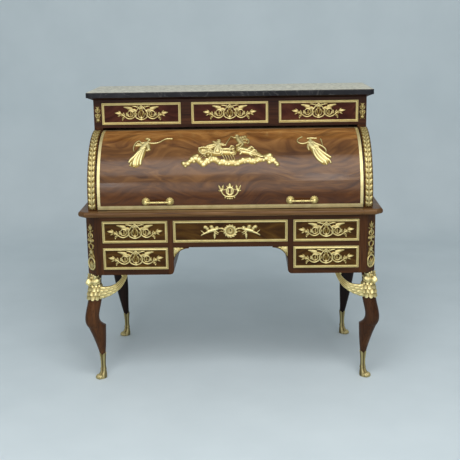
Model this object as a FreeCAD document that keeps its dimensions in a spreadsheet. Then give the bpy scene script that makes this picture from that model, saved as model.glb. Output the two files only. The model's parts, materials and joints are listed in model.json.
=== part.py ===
"""Empire cylinder desk: a drawer base on winged lion legs, a roll front over a writing slide, a marble top.

Millimetres. X runs to the viewer's right, Y to the back and Z up. The origin is on the floor under the middle
of the moulded ledge, which is the widest and deepest piece.
"""
import FreeCAD, Part
import math
import os
import Sketcher

V = FreeCAD.Vector
doc = FreeCAD.newDocument("CylinderDesk")

# Driving dimensions
SIZES = {
    # Ledge and base case
    "ledge_width": 1300,
    "ledge_depth": 700,
    "ledge_thick": 24,
    "ledge_overhang": 26,
    "back_overhang": 12,
    "ledge_cant": 30,
    "nose_radius": 10,
    "ledge_margin": 85,
    "leg_height": 497,
    "case_height": 259,
    "post_width": 73,
    "post_cant": 40,
    "rear_post_depth": 60,
    "panel_thick": 18,
    "back_thick": 12,
    "bottom_rail": 24,
    "middle_rail": 21,
    "top_rail": 20,
    "side_drawer_width": 282,
    "divider_thick": 23,
    "runner_width": 20,
    "runner_height": 12,
    "kneehole_round": 18,
    "bracket_width": 66,
    "bracket_height": 71,
    "bracket_depth": 22,
    # Drawers
    "drawer_gap": 0.8,
    "runner_gap": 0.3,
    "front_thick": 20,
    "drawer_side": 10,
    "drawer_bottom": 6,
    "bottom_groove": 4,
    "side_drop": 12,
    "base_drawer_clear": 130,
    "upper_drawer_clear": 36,
    "frame_width": 11,
    "frame_relief": 4,
    "bead_inset": 3,
    "bead_relief": 2,
    "mount_relief": 6,
    "mount_end_gap": 10,
    "mount_rim_gap": 6.5,
    "lock_width": 64,
    "lock_height": 44,
    "lock_thick": 11,
    # Roll front and side cheeks
    "upper_inset": 16,
    "upper_back_inset": 8,
    "cheek_board": 38,
    "cylinder_radius": 260,
    "cylinder_thick": 18,
    "cylinder_setback": 16,
    "axis_rise": 50,
    "swing_gap": 14,
    "end_gap": 3,
    "closing_gap": 3,
    "top_angle": 92,
    "cheek_proud": 6,
    "strip_relief": 7,
    "strip_margin": 1,
    "strip_inner_margin": 4,
    "strip_bevel": 7,
    "strip_top_angle": 84,
    "edging_width": 12,
    "edging_relief": 3,
    "band_angle": 3.5,
    "band_relief": 4,
    "top_bead_angle": 1.5,
    "arm_thick": 8,
    "arm_clear": 4,
    "arm_low_angle": 26,
    "arm_high_angle": 50,
    "hub_radius": 24,
    "pivot_radius": 8,
    "pivot_clear": 0.05,
    "flange_radius": 20,
    "flange_thick": 4,
    "handle_inset": 259,
    "handle_span": 102,
    "handle_angle": -3,
    "rosette_radius": 18,
    "rosette_height": 7,
    "post_radius": 5,
    "bar_standoff": 20,
    "bar_radius": 4.5,
    "bar_overrun": 11,
    "figure_relief": 6,
    "chariot_clear": 144,
    "chariot_height": 176,
    "chariot_angle": 48,
    "dancer_inset": 212,
    "dancer_height": 160,
    "dancer_angle": 48,
    "escutcheon_width": 100,
    "escutcheon_height": 70,
    "escutcheon_angle": 4.5,
    "keyhole_radius": 3,
    "roll_lock_width": 96,
    "roll_lock_height": 46,
    "roll_lock_depth": 20,
    # Upper drawer case and top
    "upper_board": 13,
    "upper_drawer_height": 98,
    "upper_centre_width": 344,
    "upper_end_stile": 36,
    "upper_divider": 46,
    "cornice_height": 12,
    "cornice_inset": 6,
    "marble_thick": 23,
    "marble_overhang": 30,
    "marble_back": 4,
    "marble_edge": 5,
    "marble_corner": 18,
    # Writing slide and nest
    "slide_depth": 430,
    "slide_gap": 0.7,
    "nosing_depth": 32,
    "bearer_width": 38,
    "leather_thick": 1.2,
    "leather_border": 56,
    "leather_depth": 330,
    "nest_side_gap": 21,
    "nest_front": 72,
    "nest_depth": 220,
    "nest_height": 229,
    "nest_board": 8,
    "nest_back": 6,
    "nest_drawer_height": 60,
    "nest_front_thick": 12,
    "nest_drawer_side": 6,
    "nest_drawer_depth": 196,
    "knob_radius": 7,
    "knob_length": 14,
    # Legs and lion mounts, with the stations of a leg as shares of its bare wood above the sock
    "leg_inset": 32,
    "leg_setback": 55,
    "leg_radius": 28,
    "shoulder_share": 0.84,
    "shoulder_out": 11,
    "collar_share": 0.668,
    "collar_out": 18,
    "collar_radius": 30,
    "knee_share": 0.52,
    "knee_out": 34,
    "knee_depth": 31,
    "knee_width": 29,
    "hock_share": 0.362,
    "hock_out": 11,
    "hock_depth": 43,
    "hock_width": 28,
    "shin_share": 0.17,
    "shin_in": 3,
    "shin_radius": 24.5,
    "sock_height": 110,
    "ankle_in": 11,
    "ankle_radius": 12.4,
    "sock_wall": 1.2,
    "paw_top": 34,
    "paw_length": 24,
    "paw_width": 18,
    "paw_forward": 9,
    "toe_radius": 6.5,
    "rear_leg_inset": 39,
    "rear_leg_back": 30,
    "rear_leg_width": 70,
    "rear_leg_depth": 56,
    "rear_thigh_share": 0.7,
    "rear_thigh_in": 7,
    "rear_knee_share": 0.44,
    "rear_knee_in": 17,
    "rear_knee_width": 64,
    "rear_calf_share": 0.2,
    "rear_calf_in": 26,
    "rear_calf_radius": 22,
    "rear_ankle_in": 35,
    "chest_rise": 10,
    "chest_out": 20,
    "chest_radius": 31,
    "breast_radius": 35,
    "neck_out": 10,
    "head_drop": 26,
    "head_aside": 8,
    "head_forward": 26,
    "head_radius": 31,
    "head_half_height": 24,
    "muzzle_out": 24,
    "muzzle_radius": 13,
    "muzzle_drop": 8,
    "ear_radius": 7,
    "wing_reach": 142,
    "wing_root": 64,
    "wing_tip": 18,
    "wing_drop": 125,
    "wing_start": 20,
    "wing_belly": 27,
    "wing_hollow": 25,
    "wing_thick": 18,
    "feather_thick": 9,
    "covert_share": 0.68,
    "shoulder_covert_share": 0.44,
    "wing_set": 20,
    # Small gilt mounts on posts, stiles and spandrels
    "drop_width": 30,
    "drop_end_gap": 27,
    "drop_relief": 6,
    "stile_side_gap": 4,
    "stile_end_gap": 7,
    "bracket_mount_relief": 5,
    "bracket_mount_margin": 6,
}
STAVES = 8

sheet = doc.addObject("Spreadsheet::Sheet", "Sizes")
for row, (alias, size) in enumerate(SIZES.items(), start=1):
    sheet.set(f"A{row}", str(size))
    sheet.setAlias(f"A{row}", alias)
doc.recompute()

# Places worked out from the driving dimensions, written as expressions
CASE_HALF = "(Sizes.ledge_width / 2 - Sizes.ledge_overhang)"
CASE_FRONT = "(Sizes.ledge_overhang - Sizes.ledge_depth / 2)"
CASE_BACK = "(Sizes.ledge_depth / 2 - Sizes.back_overhang)"
CASE_INSIDE_BACK = f"({CASE_BACK} - Sizes.back_thick)"
CASE_BOTTOM = "Sizes.leg_height"
CASE_TOP = "(Sizes.leg_height + Sizes.case_height)"
LEDGE_TOP = f"({CASE_TOP} + Sizes.ledge_thick)"
LEDGE_FRONT = "(-Sizes.ledge_depth / 2)"
LEDGE_INNER = "(Sizes.ledge_width / 2 - Sizes.ledge_margin)"
POST_BACK = f"({CASE_FRONT} + Sizes.post_width)"
REAR_POST_FRONT = f"({CASE_BACK} - Sizes.rear_post_depth)"
SIDE_OUTER = f"({CASE_HALF} - Sizes.post_width)"
SIDE_INNER = f"({SIDE_OUTER} - Sizes.side_drawer_width)"
CENTRE_HALF = f"({SIDE_INNER} - Sizes.divider_thick)"
DRAWER_HEIGHT = "((Sizes.case_height - Sizes.bottom_rail - Sizes.middle_rail - Sizes.top_rail) / 2)"
LOWER_BAY = f"({CASE_BOTTOM} + Sizes.bottom_rail)"
LOWER_BAY_TOP = f"({LOWER_BAY} + {DRAWER_HEIGHT})"
UPPER_BAY = f"({LOWER_BAY_TOP} + Sizes.middle_rail)"
UPPER_BAY_TOP = f"({UPPER_BAY} + {DRAWER_HEIGHT})"
BASE_DRAWER_DEPTH = f"({CASE_INSIDE_BACK} - {CASE_FRONT} - Sizes.base_drawer_clear)"
AXIS_Y = f"({CASE_FRONT} + Sizes.cylinder_setback + Sizes.cylinder_radius)"
AXIS_Z = f"({LEDGE_TOP} + Sizes.axis_rise)"
TOP_HALF = f"({CASE_HALF} - Sizes.upper_inset)"
CHEEK_INNER = f"({TOP_HALF} - Sizes.cheek_board)"
CHEEK_RADIUS = "(Sizes.cylinder_radius + Sizes.cheek_proud)"
ROLL_HALF = f"({CHEEK_INNER} - Sizes.end_gap)"
HANDLE_CENTRE = f"({ROLL_HALF} - Sizes.handle_inset)"
DANCER_CENTRE = f"({ROLL_HALF} - Sizes.dancer_inset)"
ROLL_INSIDE = "(Sizes.cylinder_radius - Sizes.cylinder_thick)"
TOP_FRONT = AXIS_Y
TOP_BACK = f"({CASE_BACK} - Sizes.upper_back_inset)"
TOP_INSIDE_BACK = f"({TOP_BACK} - Sizes.back_thick)"
TOP_BOTTOM = f"({AXIS_Z} + Sizes.cylinder_radius + Sizes.swing_gap)"
TOP_BAY = f"({TOP_BOTTOM} + Sizes.upper_board)"
TOP_BAY_TOP = f"({TOP_BAY} + Sizes.upper_drawer_height)"
TOP_TOP = f"({TOP_BAY_TOP} + Sizes.upper_board)"
MARBLE_BOTTOM = f"({TOP_TOP} + Sizes.cornice_height)"
TOP_CENTRE_HALF = "(Sizes.upper_centre_width / 2)"
TOP_SIDE_INNER = f"({TOP_CENTRE_HALF} + Sizes.upper_divider)"
TOP_SIDE_OUTER = f"({TOP_HALF} - Sizes.upper_end_stile)"
TOP_DRAWER_DEPTH = f"({TOP_INSIDE_BACK} - {TOP_FRONT} - Sizes.upper_drawer_clear)"
NARROWEST = (f"min(Sizes.side_drawer_width; 2 * {CENTRE_HALF}; Sizes.upper_centre_width; "
             f"{TOP_SIDE_OUTER} - {TOP_SIDE_INNER})")
LOWEST = f"min({DRAWER_HEIGHT}; Sizes.upper_drawer_height)"
MOUNT_WIDTH = f"({NARROWEST} - 2 * (Sizes.frame_width + Sizes.mount_end_gap))"
MOUNT_HEIGHT = f"({LOWEST} - 2 * (Sizes.frame_width + Sizes.mount_rim_gap))"
SLIDE_BACK = f"({LEDGE_FRONT} + Sizes.slide_depth)"
NOSING_BACK = f"({LEDGE_FRONT} + Sizes.nosing_depth)"
NOSING_HALF = f"({LEDGE_INNER} - Sizes.slide_gap)"
BEARER_INNER = f"({LEDGE_INNER} - Sizes.bearer_width)"
SLIDE_HALF = f"({BEARER_INNER} - Sizes.slide_gap)"
SLIDE_BOTTOM = f"({CASE_TOP} + Sizes.runner_gap)"
SLIDE_TOP = f"({LEDGE_TOP} - Sizes.slide_gap)"
NEST_HALF = f"({CHEEK_INNER} - Sizes.nest_side_gap)"
NEST_FRONT = f"({AXIS_Y} - Sizes.nest_front)"
NEST_BACK = f"({NEST_FRONT} + Sizes.nest_depth)"
NEST_BAY = f"({LEDGE_TOP} + Sizes.nest_board)"
NEST_SHELF = f"({NEST_BAY} + Sizes.nest_drawer_height)"
NEST_HOLES = f"({NEST_SHELF} + Sizes.nest_board)"
NEST_TOP = f"({LEDGE_TOP} + Sizes.nest_height)"
NEST_BAY_WIDTH = f"((2 * {NEST_HALF} - 4 * Sizes.nest_board) / 3)"
NEST_CENTRE_HALF = f"({NEST_BAY_WIDTH} / 2)"

nodes = []


def value(expression):
    """The number that an expression stands for."""
    return float(sheet.evalExpression(expression))


def size(alias):
    """A driving dimension as a number."""
    return float(sheet.get(alias))


def negative(expression):
    return f"(-{expression})"


def mirrored(span):
    """The same span on the other side of the middle plane."""
    return negative(span[1]), negative(span[0])


def both_sides(half):
    """A span across the middle plane, from minus half to plus half."""
    return negative(half), half


def board(x, y, z):
    """A rectangular board between the given spans, each a pair of expressions."""
    box = doc.addObject("Part::Box", "Board")
    for side, axis, (low, high) in (("Length", "x", x), ("Width", "y", y), ("Height", "z", z)):
        box.setExpression(side, f"{high} - {low}")
        box.setExpression(f"Placement.Base.{axis}", low)
    return box


def cut(base, tool):
    result = doc.addObject("Part::Cut", "Cut")
    result.Base = base
    result.Tool = tool
    return result


def fuse(pieces):
    result = doc.addObject("Part::MultiFuse", "Fusion")
    result.Shapes = pieces
    return result


def common(pieces):
    result = doc.addObject("Part::MultiCommon", "Common")
    result.Shapes = pieces
    return result


def flipped(piece):
    """A copy of a piece on the other side of the middle plane."""
    copy = doc.addObject("Part::Mirroring", "Flipped")
    copy.Source = piece
    copy.Normal = V(1, 0, 0)
    return copy


def node(label, piece):
    piece.Label = label
    nodes.append(piece)
    return piece


def group(label, pieces):
    """A node of several separate solids."""
    compound = doc.addObject("Part::Compound", "Group")
    compound.Links = pieces
    return node(label, compound)


def feature(shape):
    """A sculpted piece whose shape is worked out from the sheet in code."""
    piece = doc.addObject("Part::Feature", "Sculpted")
    piece.Shape = shape
    return piece


# Round pieces about the roll axis: an angle of 0 points to the front and 90 straight up
def radial(angle):
    """Unit vector that leaves the roll axis at an angle in degrees."""
    turn = math.radians(angle)
    return V(0, -math.cos(turn), math.sin(turn))


def tangent(angle):
    """Unit vector along the roll front's surface, upwards, at an angle in degrees."""
    turn = math.radians(angle)
    return V(0, math.sin(turn), math.cos(turn))


def wedge_of_cylinder(radius, x, low, sweep):
    """A pie slice of a cylinder on the roll axis, from an angle low, as wide as the expression sweep."""
    slice_ = doc.addObject("Part::Cylinder", "Slice")
    slice_.setExpression("Radius", radius)
    slice_.setExpression("Height", f"{x[1]} - {x[0]}")
    slice_.setExpression("Angle", sweep)
    turn = FreeCAD.Rotation(radial(low), tangent(low), V(-1, 0, 0), "ZXY")
    slice_.Placement = FreeCAD.Placement(V(0, 0, 0), turn)
    slice_.setExpression("Placement.Base.x", x[1])
    slice_.setExpression("Placement.Base.y", AXIS_Y)
    slice_.setExpression("Placement.Base.z", AXIS_Z)
    return slice_


def arc_board(inner, outer, x, low, sweep):
    """A board bent about the roll axis, between two radii."""
    return cut(wedge_of_cylinder(outer, x, low, sweep), wedge_of_cylinder(inner, x, low, sweep))


# Sketched pieces
def new_body(label):
    return doc.addObject("PartDesign::Body", label)


def sketch_on(body, role):
    plane = next(part for part in body.Origin.OriginFeatures if part.Role == role)
    sketch = body.newObject("Sketcher::SketchObject", "Profile")
    sketch.AttachmentSupport = (plane, [""])
    sketch.MapMode = "FlatFace"
    return sketch


def fix_point(sketch, line, end, point):
    """Bind one end of a line to a pair of expressions."""
    for kind, expression in zip(("DistanceX", "DistanceY"), point):
        datum = Sketcher.Constraint(kind, -1, 1, line, end, value(expression))
        sketch.setExpression(f"Constraints[{sketch.addConstraint(datum)}]", expression)


def polygon(sketch, points):
    """A closed outline of straight lines through points given as pairs of expressions."""
    corners = [V(value(x), value(y), 0) for x, y in points]
    count = len(points)
    for index in range(count):
        sketch.addGeometry(Part.LineSegment(corners[index], corners[(index + 1) % count]), False)
    for index in range(count):
        sketch.addConstraint(Sketcher.Constraint("Coincident", index, 2, (index + 1) % count, 1))
    for index, point in enumerate(points):
        fix_point(sketch, index, 1, point)


def padded(label, role, points, length):
    """A body padded from a straight-sided outline."""
    body = new_body(label)
    sketch = sketch_on(body, role)
    polygon(sketch, points)
    pad = body.newObject("PartDesign::Pad", "Pad")
    pad.Profile = sketch
    pad.setExpression("Length", length)
    doc.recompute()
    return body, pad


def edges_where(shape, test):
    return [f"Edge{number}" for number, edge in enumerate(shape.Edges, start=1) if test(edge)]


def rounded(body, base, test, radius):
    """Round the edges of a body's last feature that pass a test."""
    fillet = body.newObject("PartDesign::Fillet", "Rounding")
    fillet.Base = (base, edges_where(base.Shape, test))
    fillet.setExpression("Radius", radius)
    return fillet


def is_level(edge):
    return edge.BoundBox.ZLength < 0.001


# Marble slab and cornice
def marble_top():
    half = f"({TOP_HALF} + Sizes.marble_overhang)"
    front = f"({TOP_FRONT} - Sizes.marble_overhang)"
    back = f"({TOP_BACK} + Sizes.marble_back)"
    outline = [(negative(half), front), (half, front), (half, back), (negative(half), back)]
    body, pad = padded("marble_top", "XY_Plane", outline, "Sizes.marble_thick")
    thick = size("marble_thick")
    middle = (value(front) + value(back)) / 2

    def is_front_corner(edge):
        return not is_level(edge) and edge.BoundBox.YMax < middle

    corners = rounded(body, pad, is_front_corner, "min(Sizes.marble_corner; 2.8 * Sizes.cornice_inset)")
    doc.recompute()
    rounded(body, corners, lambda edge: is_level(edge) and edge.BoundBox.ZMax > thick / 2, "Sizes.marble_edge")
    body.setExpression("Placement.Base.z", MARBLE_BOTTOM)
    node("marble_top", body)


def cornice():
    """A sloping moulding that widens from the upper case to the marble."""
    flare = "(Sizes.marble_overhang - Sizes.cornice_inset)"
    slope = doc.addObject("Part::Wedge", "Cornice")
    slope.Placement = FreeCAD.Placement(V(0, 0, 0), FreeCAD.Rotation(V(1, 0, 0), 90))
    spans = {
        "Ymin": "0",
        "Ymax": "Sizes.cornice_height",
        "Xmin": negative(TOP_HALF),
        "Xmax": TOP_HALF,
        "Zmin": negative(TOP_BACK),
        "Zmax": negative(TOP_FRONT),
        "X2min": f"-{TOP_HALF} - {flare}",
        "X2max": f"{TOP_HALF} + {flare}",
        "Z2min": negative(TOP_BACK),
        "Z2max": f"-{TOP_FRONT} + {flare}",
    }
    for name, expression in spans.items():
        slope.setExpression(name, expression)
    slope.setExpression("Placement.Base.z", TOP_TOP)
    node("cornice", slope)


# Upper drawer case
def upper_case():
    depth = (TOP_FRONT, TOP_INSIDE_BACK)
    end = (TOP_SIDE_OUTER, TOP_HALF)
    divider = (TOP_CENTRE_HALF, TOP_SIDE_INNER)
    bay = (TOP_BAY, TOP_BAY_TOP)
    group("upper_case", [
        board(both_sides(TOP_HALF), depth, (TOP_BOTTOM, TOP_BAY)),
        board(both_sides(TOP_HALF), depth, (TOP_BAY_TOP, TOP_TOP)),
        board(end, depth, bay),
        board(mirrored(end), depth, bay),
        board(divider, depth, bay),
        board(mirrored(divider), depth, bay),
    ])
    node("upper_back", board(both_sides(TOP_HALF), (TOP_INSIDE_BACK, TOP_BACK), (LEDGE_TOP, TOP_TOP)))


# Side cheeks with a round front edge, and the foliage strips on those edges
def side_cheeks():
    body = new_body("side_right")
    sketch = sketch_on(body, "YZ_Plane")
    radius = value(CHEEK_RADIUS)
    rise = size("axis_rise")
    start = math.pi / 2
    end = math.pi + math.asin(rise / radius)
    circle = Part.Circle(V(0, 0, 0), V(0, 0, 1), radius)
    back = f"({TOP_INSIDE_BACK} - {AXIS_Y})"
    top = "(Sizes.cylinder_radius + Sizes.swing_gap)"
    foot = V(radius * math.cos(end), -rise, 0)
    rear = value(back)
    height = value(top)
    corners = [foot, V(rear, -rise, 0), V(rear, height, 0), V(0, height, 0), V(0, radius, 0)]
    arc = sketch.addGeometry(Part.ArcOfCircle(circle, start, end), False)
    lines = [
        sketch.addGeometry(Part.LineSegment(corners[index], corners[index + 1]), False) for index in range(4)
    ]
    sketch.addConstraint(Sketcher.Constraint("Coincident", arc, 3, -1, 1))
    sketch.addConstraint(Sketcher.Constraint("Coincident", arc, 2, lines[0], 1))
    for first, second in zip(lines, lines[1:]):
        sketch.addConstraint(Sketcher.Constraint("Coincident", first, 2, second, 1))
    sketch.addConstraint(Sketcher.Constraint("Coincident", lines[3], 2, arc, 1))
    curve = sketch.addConstraint(Sketcher.Constraint("Radius", arc, radius))
    sketch.setExpression(f"Constraints[{curve}]", CHEEK_RADIUS)
    fix_point(sketch, lines[1], 1, (back, "-Sizes.axis_rise"))
    fix_point(sketch, lines[2], 1, (back, top))
    fix_point(sketch, lines[3], 1, ("0", top))
    sketch.addConstraint(Sketcher.Constraint("PointOnObject", arc, 1, -2))
    level = sketch.addConstraint(Sketcher.Constraint("DistanceY", -1, 1, arc, 2, -rise))
    sketch.setExpression(f"Constraints[{level}]", "-Sizes.axis_rise")
    pad = body.newObject("PartDesign::Pad", "Pad")
    pad.Profile = sketch
    pad.setExpression("Length", "Sizes.cheek_board")
    body.setExpression("Placement.Base.x", CHEEK_INNER)
    body.setExpression("Placement.Base.y", AXIS_Y)
    body.setExpression("Placement.Base.z", AXIS_Z)
    node("side_right", body)
    node("side_left", flipped(body))


def foliage_strips():
    """Bevelled bands carried round the cheeks' front edges by a revolution about the roll axis."""
    body = new_body("strip")
    sketch = sketch_on(body, "XZ_Plane")
    inner = "Sizes.strip_inner_margin"
    outer = "(Sizes.cheek_board - Sizes.strip_margin)"
    crown = f"({CHEEK_RADIUS} + Sizes.strip_relief)"
    polygon(sketch, [
        (inner, CHEEK_RADIUS),
        (outer, CHEEK_RADIUS),
        (f"({outer} - Sizes.strip_bevel)", crown),
        (f"({inner} + Sizes.strip_bevel)", crown),
    ])
    foot = f"asin((Sizes.axis_rise - Sizes.strip_margin) / {crown})"
    turned = body.newObject("PartDesign::Revolution", "Turned")
    turned.Profile = sketch
    turned.ReferenceAxis = (sketch, ["H_Axis"])
    turned.setExpression("Angle", f"Sizes.strip_top_angle * 1 deg + {foot}")
    lean = FreeCAD.Rotation(V(1, 0, 0), 90 - size("strip_top_angle"))
    body.Placement = FreeCAD.Placement(V(0, 0, 0), lean)
    body.setExpression("Placement.Base.x", CHEEK_INNER)
    body.setExpression("Placement.Base.y", AXIS_Y)
    body.setExpression("Placement.Base.z", AXIS_Z)
    group("foliage_strips", [body, flipped(body)])


# Roll front: staves, gilt edging, arms and pivots
ROLL_FOOT = math.degrees(math.asin((size("closing_gap") - size("axis_rise")) / size("cylinder_radius")))
ROLL_FOOT_DOWN = "asin((Sizes.axis_rise - Sizes.closing_gap) / Sizes.cylinder_radius)"
ROLL_SWEEP = f"(Sizes.top_angle * 1 deg + {ROLL_FOOT_DOWN})"


def roll_front():
    across = both_sides(ROLL_HALF)
    face = "Sizes.cylinder_radius"
    step = (size("top_angle") - ROLL_FOOT) / STAVES
    stave = f"{ROLL_SWEEP} / {STAVES}"
    group("cylinder_panel", [
        arc_board(ROLL_INSIDE, face, across, ROLL_FOOT + step * number, stave) for number in range(STAVES)
    ])
    edge = (f"({ROLL_HALF} - Sizes.edging_width)", ROLL_HALF)
    between = both_sides(edge[0])
    edging = f"({face} + Sizes.edging_relief)"
    rise = f"{ROLL_SWEEP} - Sizes.band_angle * 1 deg"
    above_band = ROLL_FOOT + size("band_angle")
    top_bead = size("top_angle") - size("top_bead_angle")
    group("cylinder_trim", [
        arc_board(face, edging, edge, above_band, rise),
        arc_board(face, edging, mirrored(edge), above_band, rise),
        arc_board(face, edging, between, top_bead, "Sizes.top_bead_angle * 1 deg"),
        arc_board(face, f"({face} + Sizes.band_relief)", across, ROLL_FOOT, "Sizes.band_angle * 1 deg"),
    ])


def rod(radius, x):
    """A round rod along X, centred on the roll axis."""
    return wedge_of_cylinder(radius, x, 0, "360 deg")


def arms_and_pivots():
    plate = (f"({CHEEK_INNER} - Sizes.flange_thick - Sizes.arm_clear - Sizes.arm_thick)",
             f"({CHEEK_INNER} - Sizes.flange_thick - Sizes.arm_clear)")
    sweep = "(Sizes.arm_high_angle - Sizes.arm_low_angle) * 1 deg"
    bore = "(Sizes.pivot_radius + Sizes.pivot_clear)"
    spoke = wedge_of_cylinder(ROLL_INSIDE, plate, size("arm_low_angle"), sweep)
    arm = cut(fuse([spoke, rod("Sizes.hub_radius", plate)]), rod(bore, plate))
    group("cylinder_arms", [arm, flipped(arm)])
    flange = rod("Sizes.flange_radius", (f"({CHEEK_INNER} - Sizes.flange_thick)", CHEEK_INNER))
    pin = rod("Sizes.pivot_radius", (plate[0], CHEEK_INNER))
    pivot = fuse([flange, pin])
    group("cylinder_pivots", [pivot, flipped(pivot)])


def on_roll(piece, x, angle, radius):
    """Place a piece so that its own Z leaves the roll front and its own X stays level."""
    outward = radial(angle)
    turn = FreeCAD.Rotation(V(1, 0, 0), tangent(angle), outward, "ZXY")
    place = V(x, value(AXIS_Y), value(AXIS_Z)) + outward * radius
    piece.Placement = FreeCAD.Placement(place, turn)
    return piece


def handles():
    """Each pull is a straight bar on two turned rosettes, which are seated on the curved front."""
    angle = size("handle_angle")
    radius = size("cylinder_radius")
    body = rod("Sizes.cylinder_radius", both_sides(ROLL_HALF))
    pieces = []
    for side in (1, -1):
        bar = doc.addObject("Part::Cylinder", "Bar")
        bar.setExpression("Radius", "Sizes.bar_radius")
        length = size("handle_span") + 2 * size("bar_overrun")
        bar.setExpression("Height", "Sizes.handle_span + 2 * Sizes.bar_overrun")
        middle = side * value(HANDLE_CENTRE)
        centre = V(middle, value(AXIS_Y), value(AXIS_Z))
        lift = radial(angle) * (radius + size("bar_standoff"))
        start = centre + lift - V(length / 2, 0, 0)
        bar.Placement = FreeCAD.Placement(start, FreeCAD.Rotation(V(0, 1, 0), 90))
        pieces.append(bar)
        for end in (1, -1):
            x = middle + end * size("handle_span") / 2
            rosette = doc.addObject("Part::Cone", "Rosette")
            rosette.setExpression("Radius1", "Sizes.rosette_radius")
            rosette.setExpression("Radius2", "Sizes.post_radius")
            rosette.setExpression("Height", "Sizes.rosette_height")
            seat = on_roll(rosette, x, angle, radius)
            post = doc.addObject("Part::Cylinder", "Post")
            post.setExpression("Radius", "Sizes.post_radius")
            post.setExpression("Height", "Sizes.bar_standoff")
            stem = on_roll(post, x, angle, radius)
            foot = doc.addObject("Part::Cylinder", "Foot")
            foot.setExpression("Radius", "Sizes.rosette_radius")
            foot.setExpression("Height", "Sizes.post_radius")
            base = on_roll(foot, x, angle, radius - size("post_radius"))
            pieces.append(cut(cut(fuse([seat, stem, base]), body), bar))
    group("cylinder_handles", pieces)


# Flat and bent ornament
def lobed_outline(width, height, lobes, depth):
    """Closed curve: an ellipse whose radius swells and shrinks by a cosine, once for each lobe."""
    count = lobes * 4
    points = []
    for number in range(count):
        turn = 2 * math.pi * number / count
        swell = (1 + depth * math.cos(lobes * turn)) / (1 + depth)
        points.append(V(width / 2 * math.cos(turn) * swell, height / 2 * math.sin(turn) * swell, 0))
    curve = Part.BSplineCurve()
    curve.interpolate(points, PeriodicFlag=True)
    return Part.Wire([curve.toShape()])


def plate(outline, thick):
    """A flat plate with a given outline, thick along +Z."""
    return Part.Face(outline).extrude(V(0, 0, thick))


def disc_outline(x, y, radius):
    return Part.Wire([Part.Circle(V(x, y, 0), V(0, 0, 1), radius).toShape()])


def straight_outline(points):
    corners = [V(x, y, 0) for x, y in points]
    return Part.makePolygon(corners + corners[:1])


def bent_plate(outlines, x, angle, relief):
    """Flat outlines bent on to the roll front: their prism, kept between its face and the relief above."""
    radius = size("cylinder_radius")
    deep = radius / 2
    prisms = []
    for outline in outlines:
        prism = plate(outline, deep + 2 * relief)
        turn = FreeCAD.Rotation(V(1, 0, 0), tangent(angle), radial(angle), "ZXY")
        place = V(x, value(AXIS_Y), value(AXIS_Z)) + radial(angle) * (radius - deep)
        prism.Placement = FreeCAD.Placement(place, turn)
        prisms.append(prism)
    solid = prisms[0].multiFuse(prisms[1:]) if len(prisms) > 1 else prisms[0]
    half = value(ROLL_HALF)
    start = V(-half, value(AXIS_Y), value(AXIS_Z))
    along = V(1, 0, 0)
    outer = Part.makeCylinder(radius + relief, 2 * half, start, along)
    inner = Part.makeCylinder(radius, 2 * half, start, along)
    return solid.common(outer.cut(inner)).removeSplitter()


def chariot():
    """The chariot group: a cloud bank, two horses ahead, and a driver over a car with a round wheel."""
    width = 2 * (value(DANCER_CENTRE) - size("chariot_clear"))
    height = size("chariot_height")
    cloud = lobed_outline(width, height * 0.42, 10, 0.08)
    cloud.translate(V(0, -height * 0.29, 0))
    horses = lobed_outline(width * 0.42, height * 0.52, 5, 0.12)
    horses.translate(V(width * 0.1, -height * 0.02, 0))
    car = disc_outline(-width * 0.14, -height * 0.06, height * 0.24)
    driver = lobed_outline(width * 0.16, height * 0.6, 5, 0.1)
    driver.translate(V(width * 0.05, height * 0.2, 0))
    shape = bent_plate([cloud, horses, car, driver], 0, size("chariot_angle"), size("figure_relief"))
    node("chariot_mount", feature(shape))


def dancers():
    """A dancing figure on each side: head, flowing skirt, and raised arms that hold a long horn."""
    tall = size("dancer_height")
    head = disc_outline(0, tall * 0.42, tall * 0.075)
    skirt = straight_outline([
        (-tall * 0.06, tall * 0.36),
        (tall * 0.07, tall * 0.36),
        (tall * 0.1, tall * 0.1),
        (tall * 0.06, -tall * 0.4),
        (-tall * 0.12, -tall * 0.5),
        (-tall * 0.28, -tall * 0.3),
        (-tall * 0.1, tall * 0.06),
    ])
    horn = straight_outline([
        (-tall * 0.32, tall * 0.12),
        (-tall * 0.28, tall * 0.06),
        (tall * 0.56, tall * 0.36),
        (tall * 0.54, tall * 0.46),
    ])
    angle = size("dancer_angle")
    left = bent_plate([head, skirt, horn], -value(DANCER_CENTRE), angle, size("figure_relief"))
    node("dancer_left", feature(left))
    node("dancer_right", feature(left.mirror(V(0, 0, 0), V(1, 0, 0))))


def escutcheon_and_lock():
    outline = lobed_outline(size("escutcheon_width"), size("escutcheon_height"), 6, 0.14)
    angle = size("escutcheon_angle")
    shape = bent_plate([outline], 0, angle, size("figure_relief"))
    axis = V(0, value(AXIS_Y), value(AXIS_Z))
    keyhole = Part.makeCylinder(size("keyhole_radius"), size("cylinder_radius"), axis, radial(angle))
    drilled = shape.cut(keyhole)
    node("cylinder_escutcheon", feature(drilled))
    half = "(Sizes.roll_lock_width / 2)"
    low = f"({AXIS_Z} - Sizes.roll_lock_height / 2)"
    case = board(both_sides(half), (f"({AXIS_Y} - Sizes.cylinder_radius)",
                                    f"({AXIS_Y} - {ROLL_INSIDE} + Sizes.roll_lock_depth)"),
                 (low, f"({low} + Sizes.roll_lock_height)"))
    node("cylinder_lock", common([case, rod(ROLL_INSIDE, both_sides(ROLL_HALF))]))


# Ledge, writing slide and its bearers, with a nose that leaves a flat between its two rounded edges
NOSE_RADIUS = "min(Sizes.nose_radius; 0.45 * Sizes.ledge_thick)"


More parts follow.
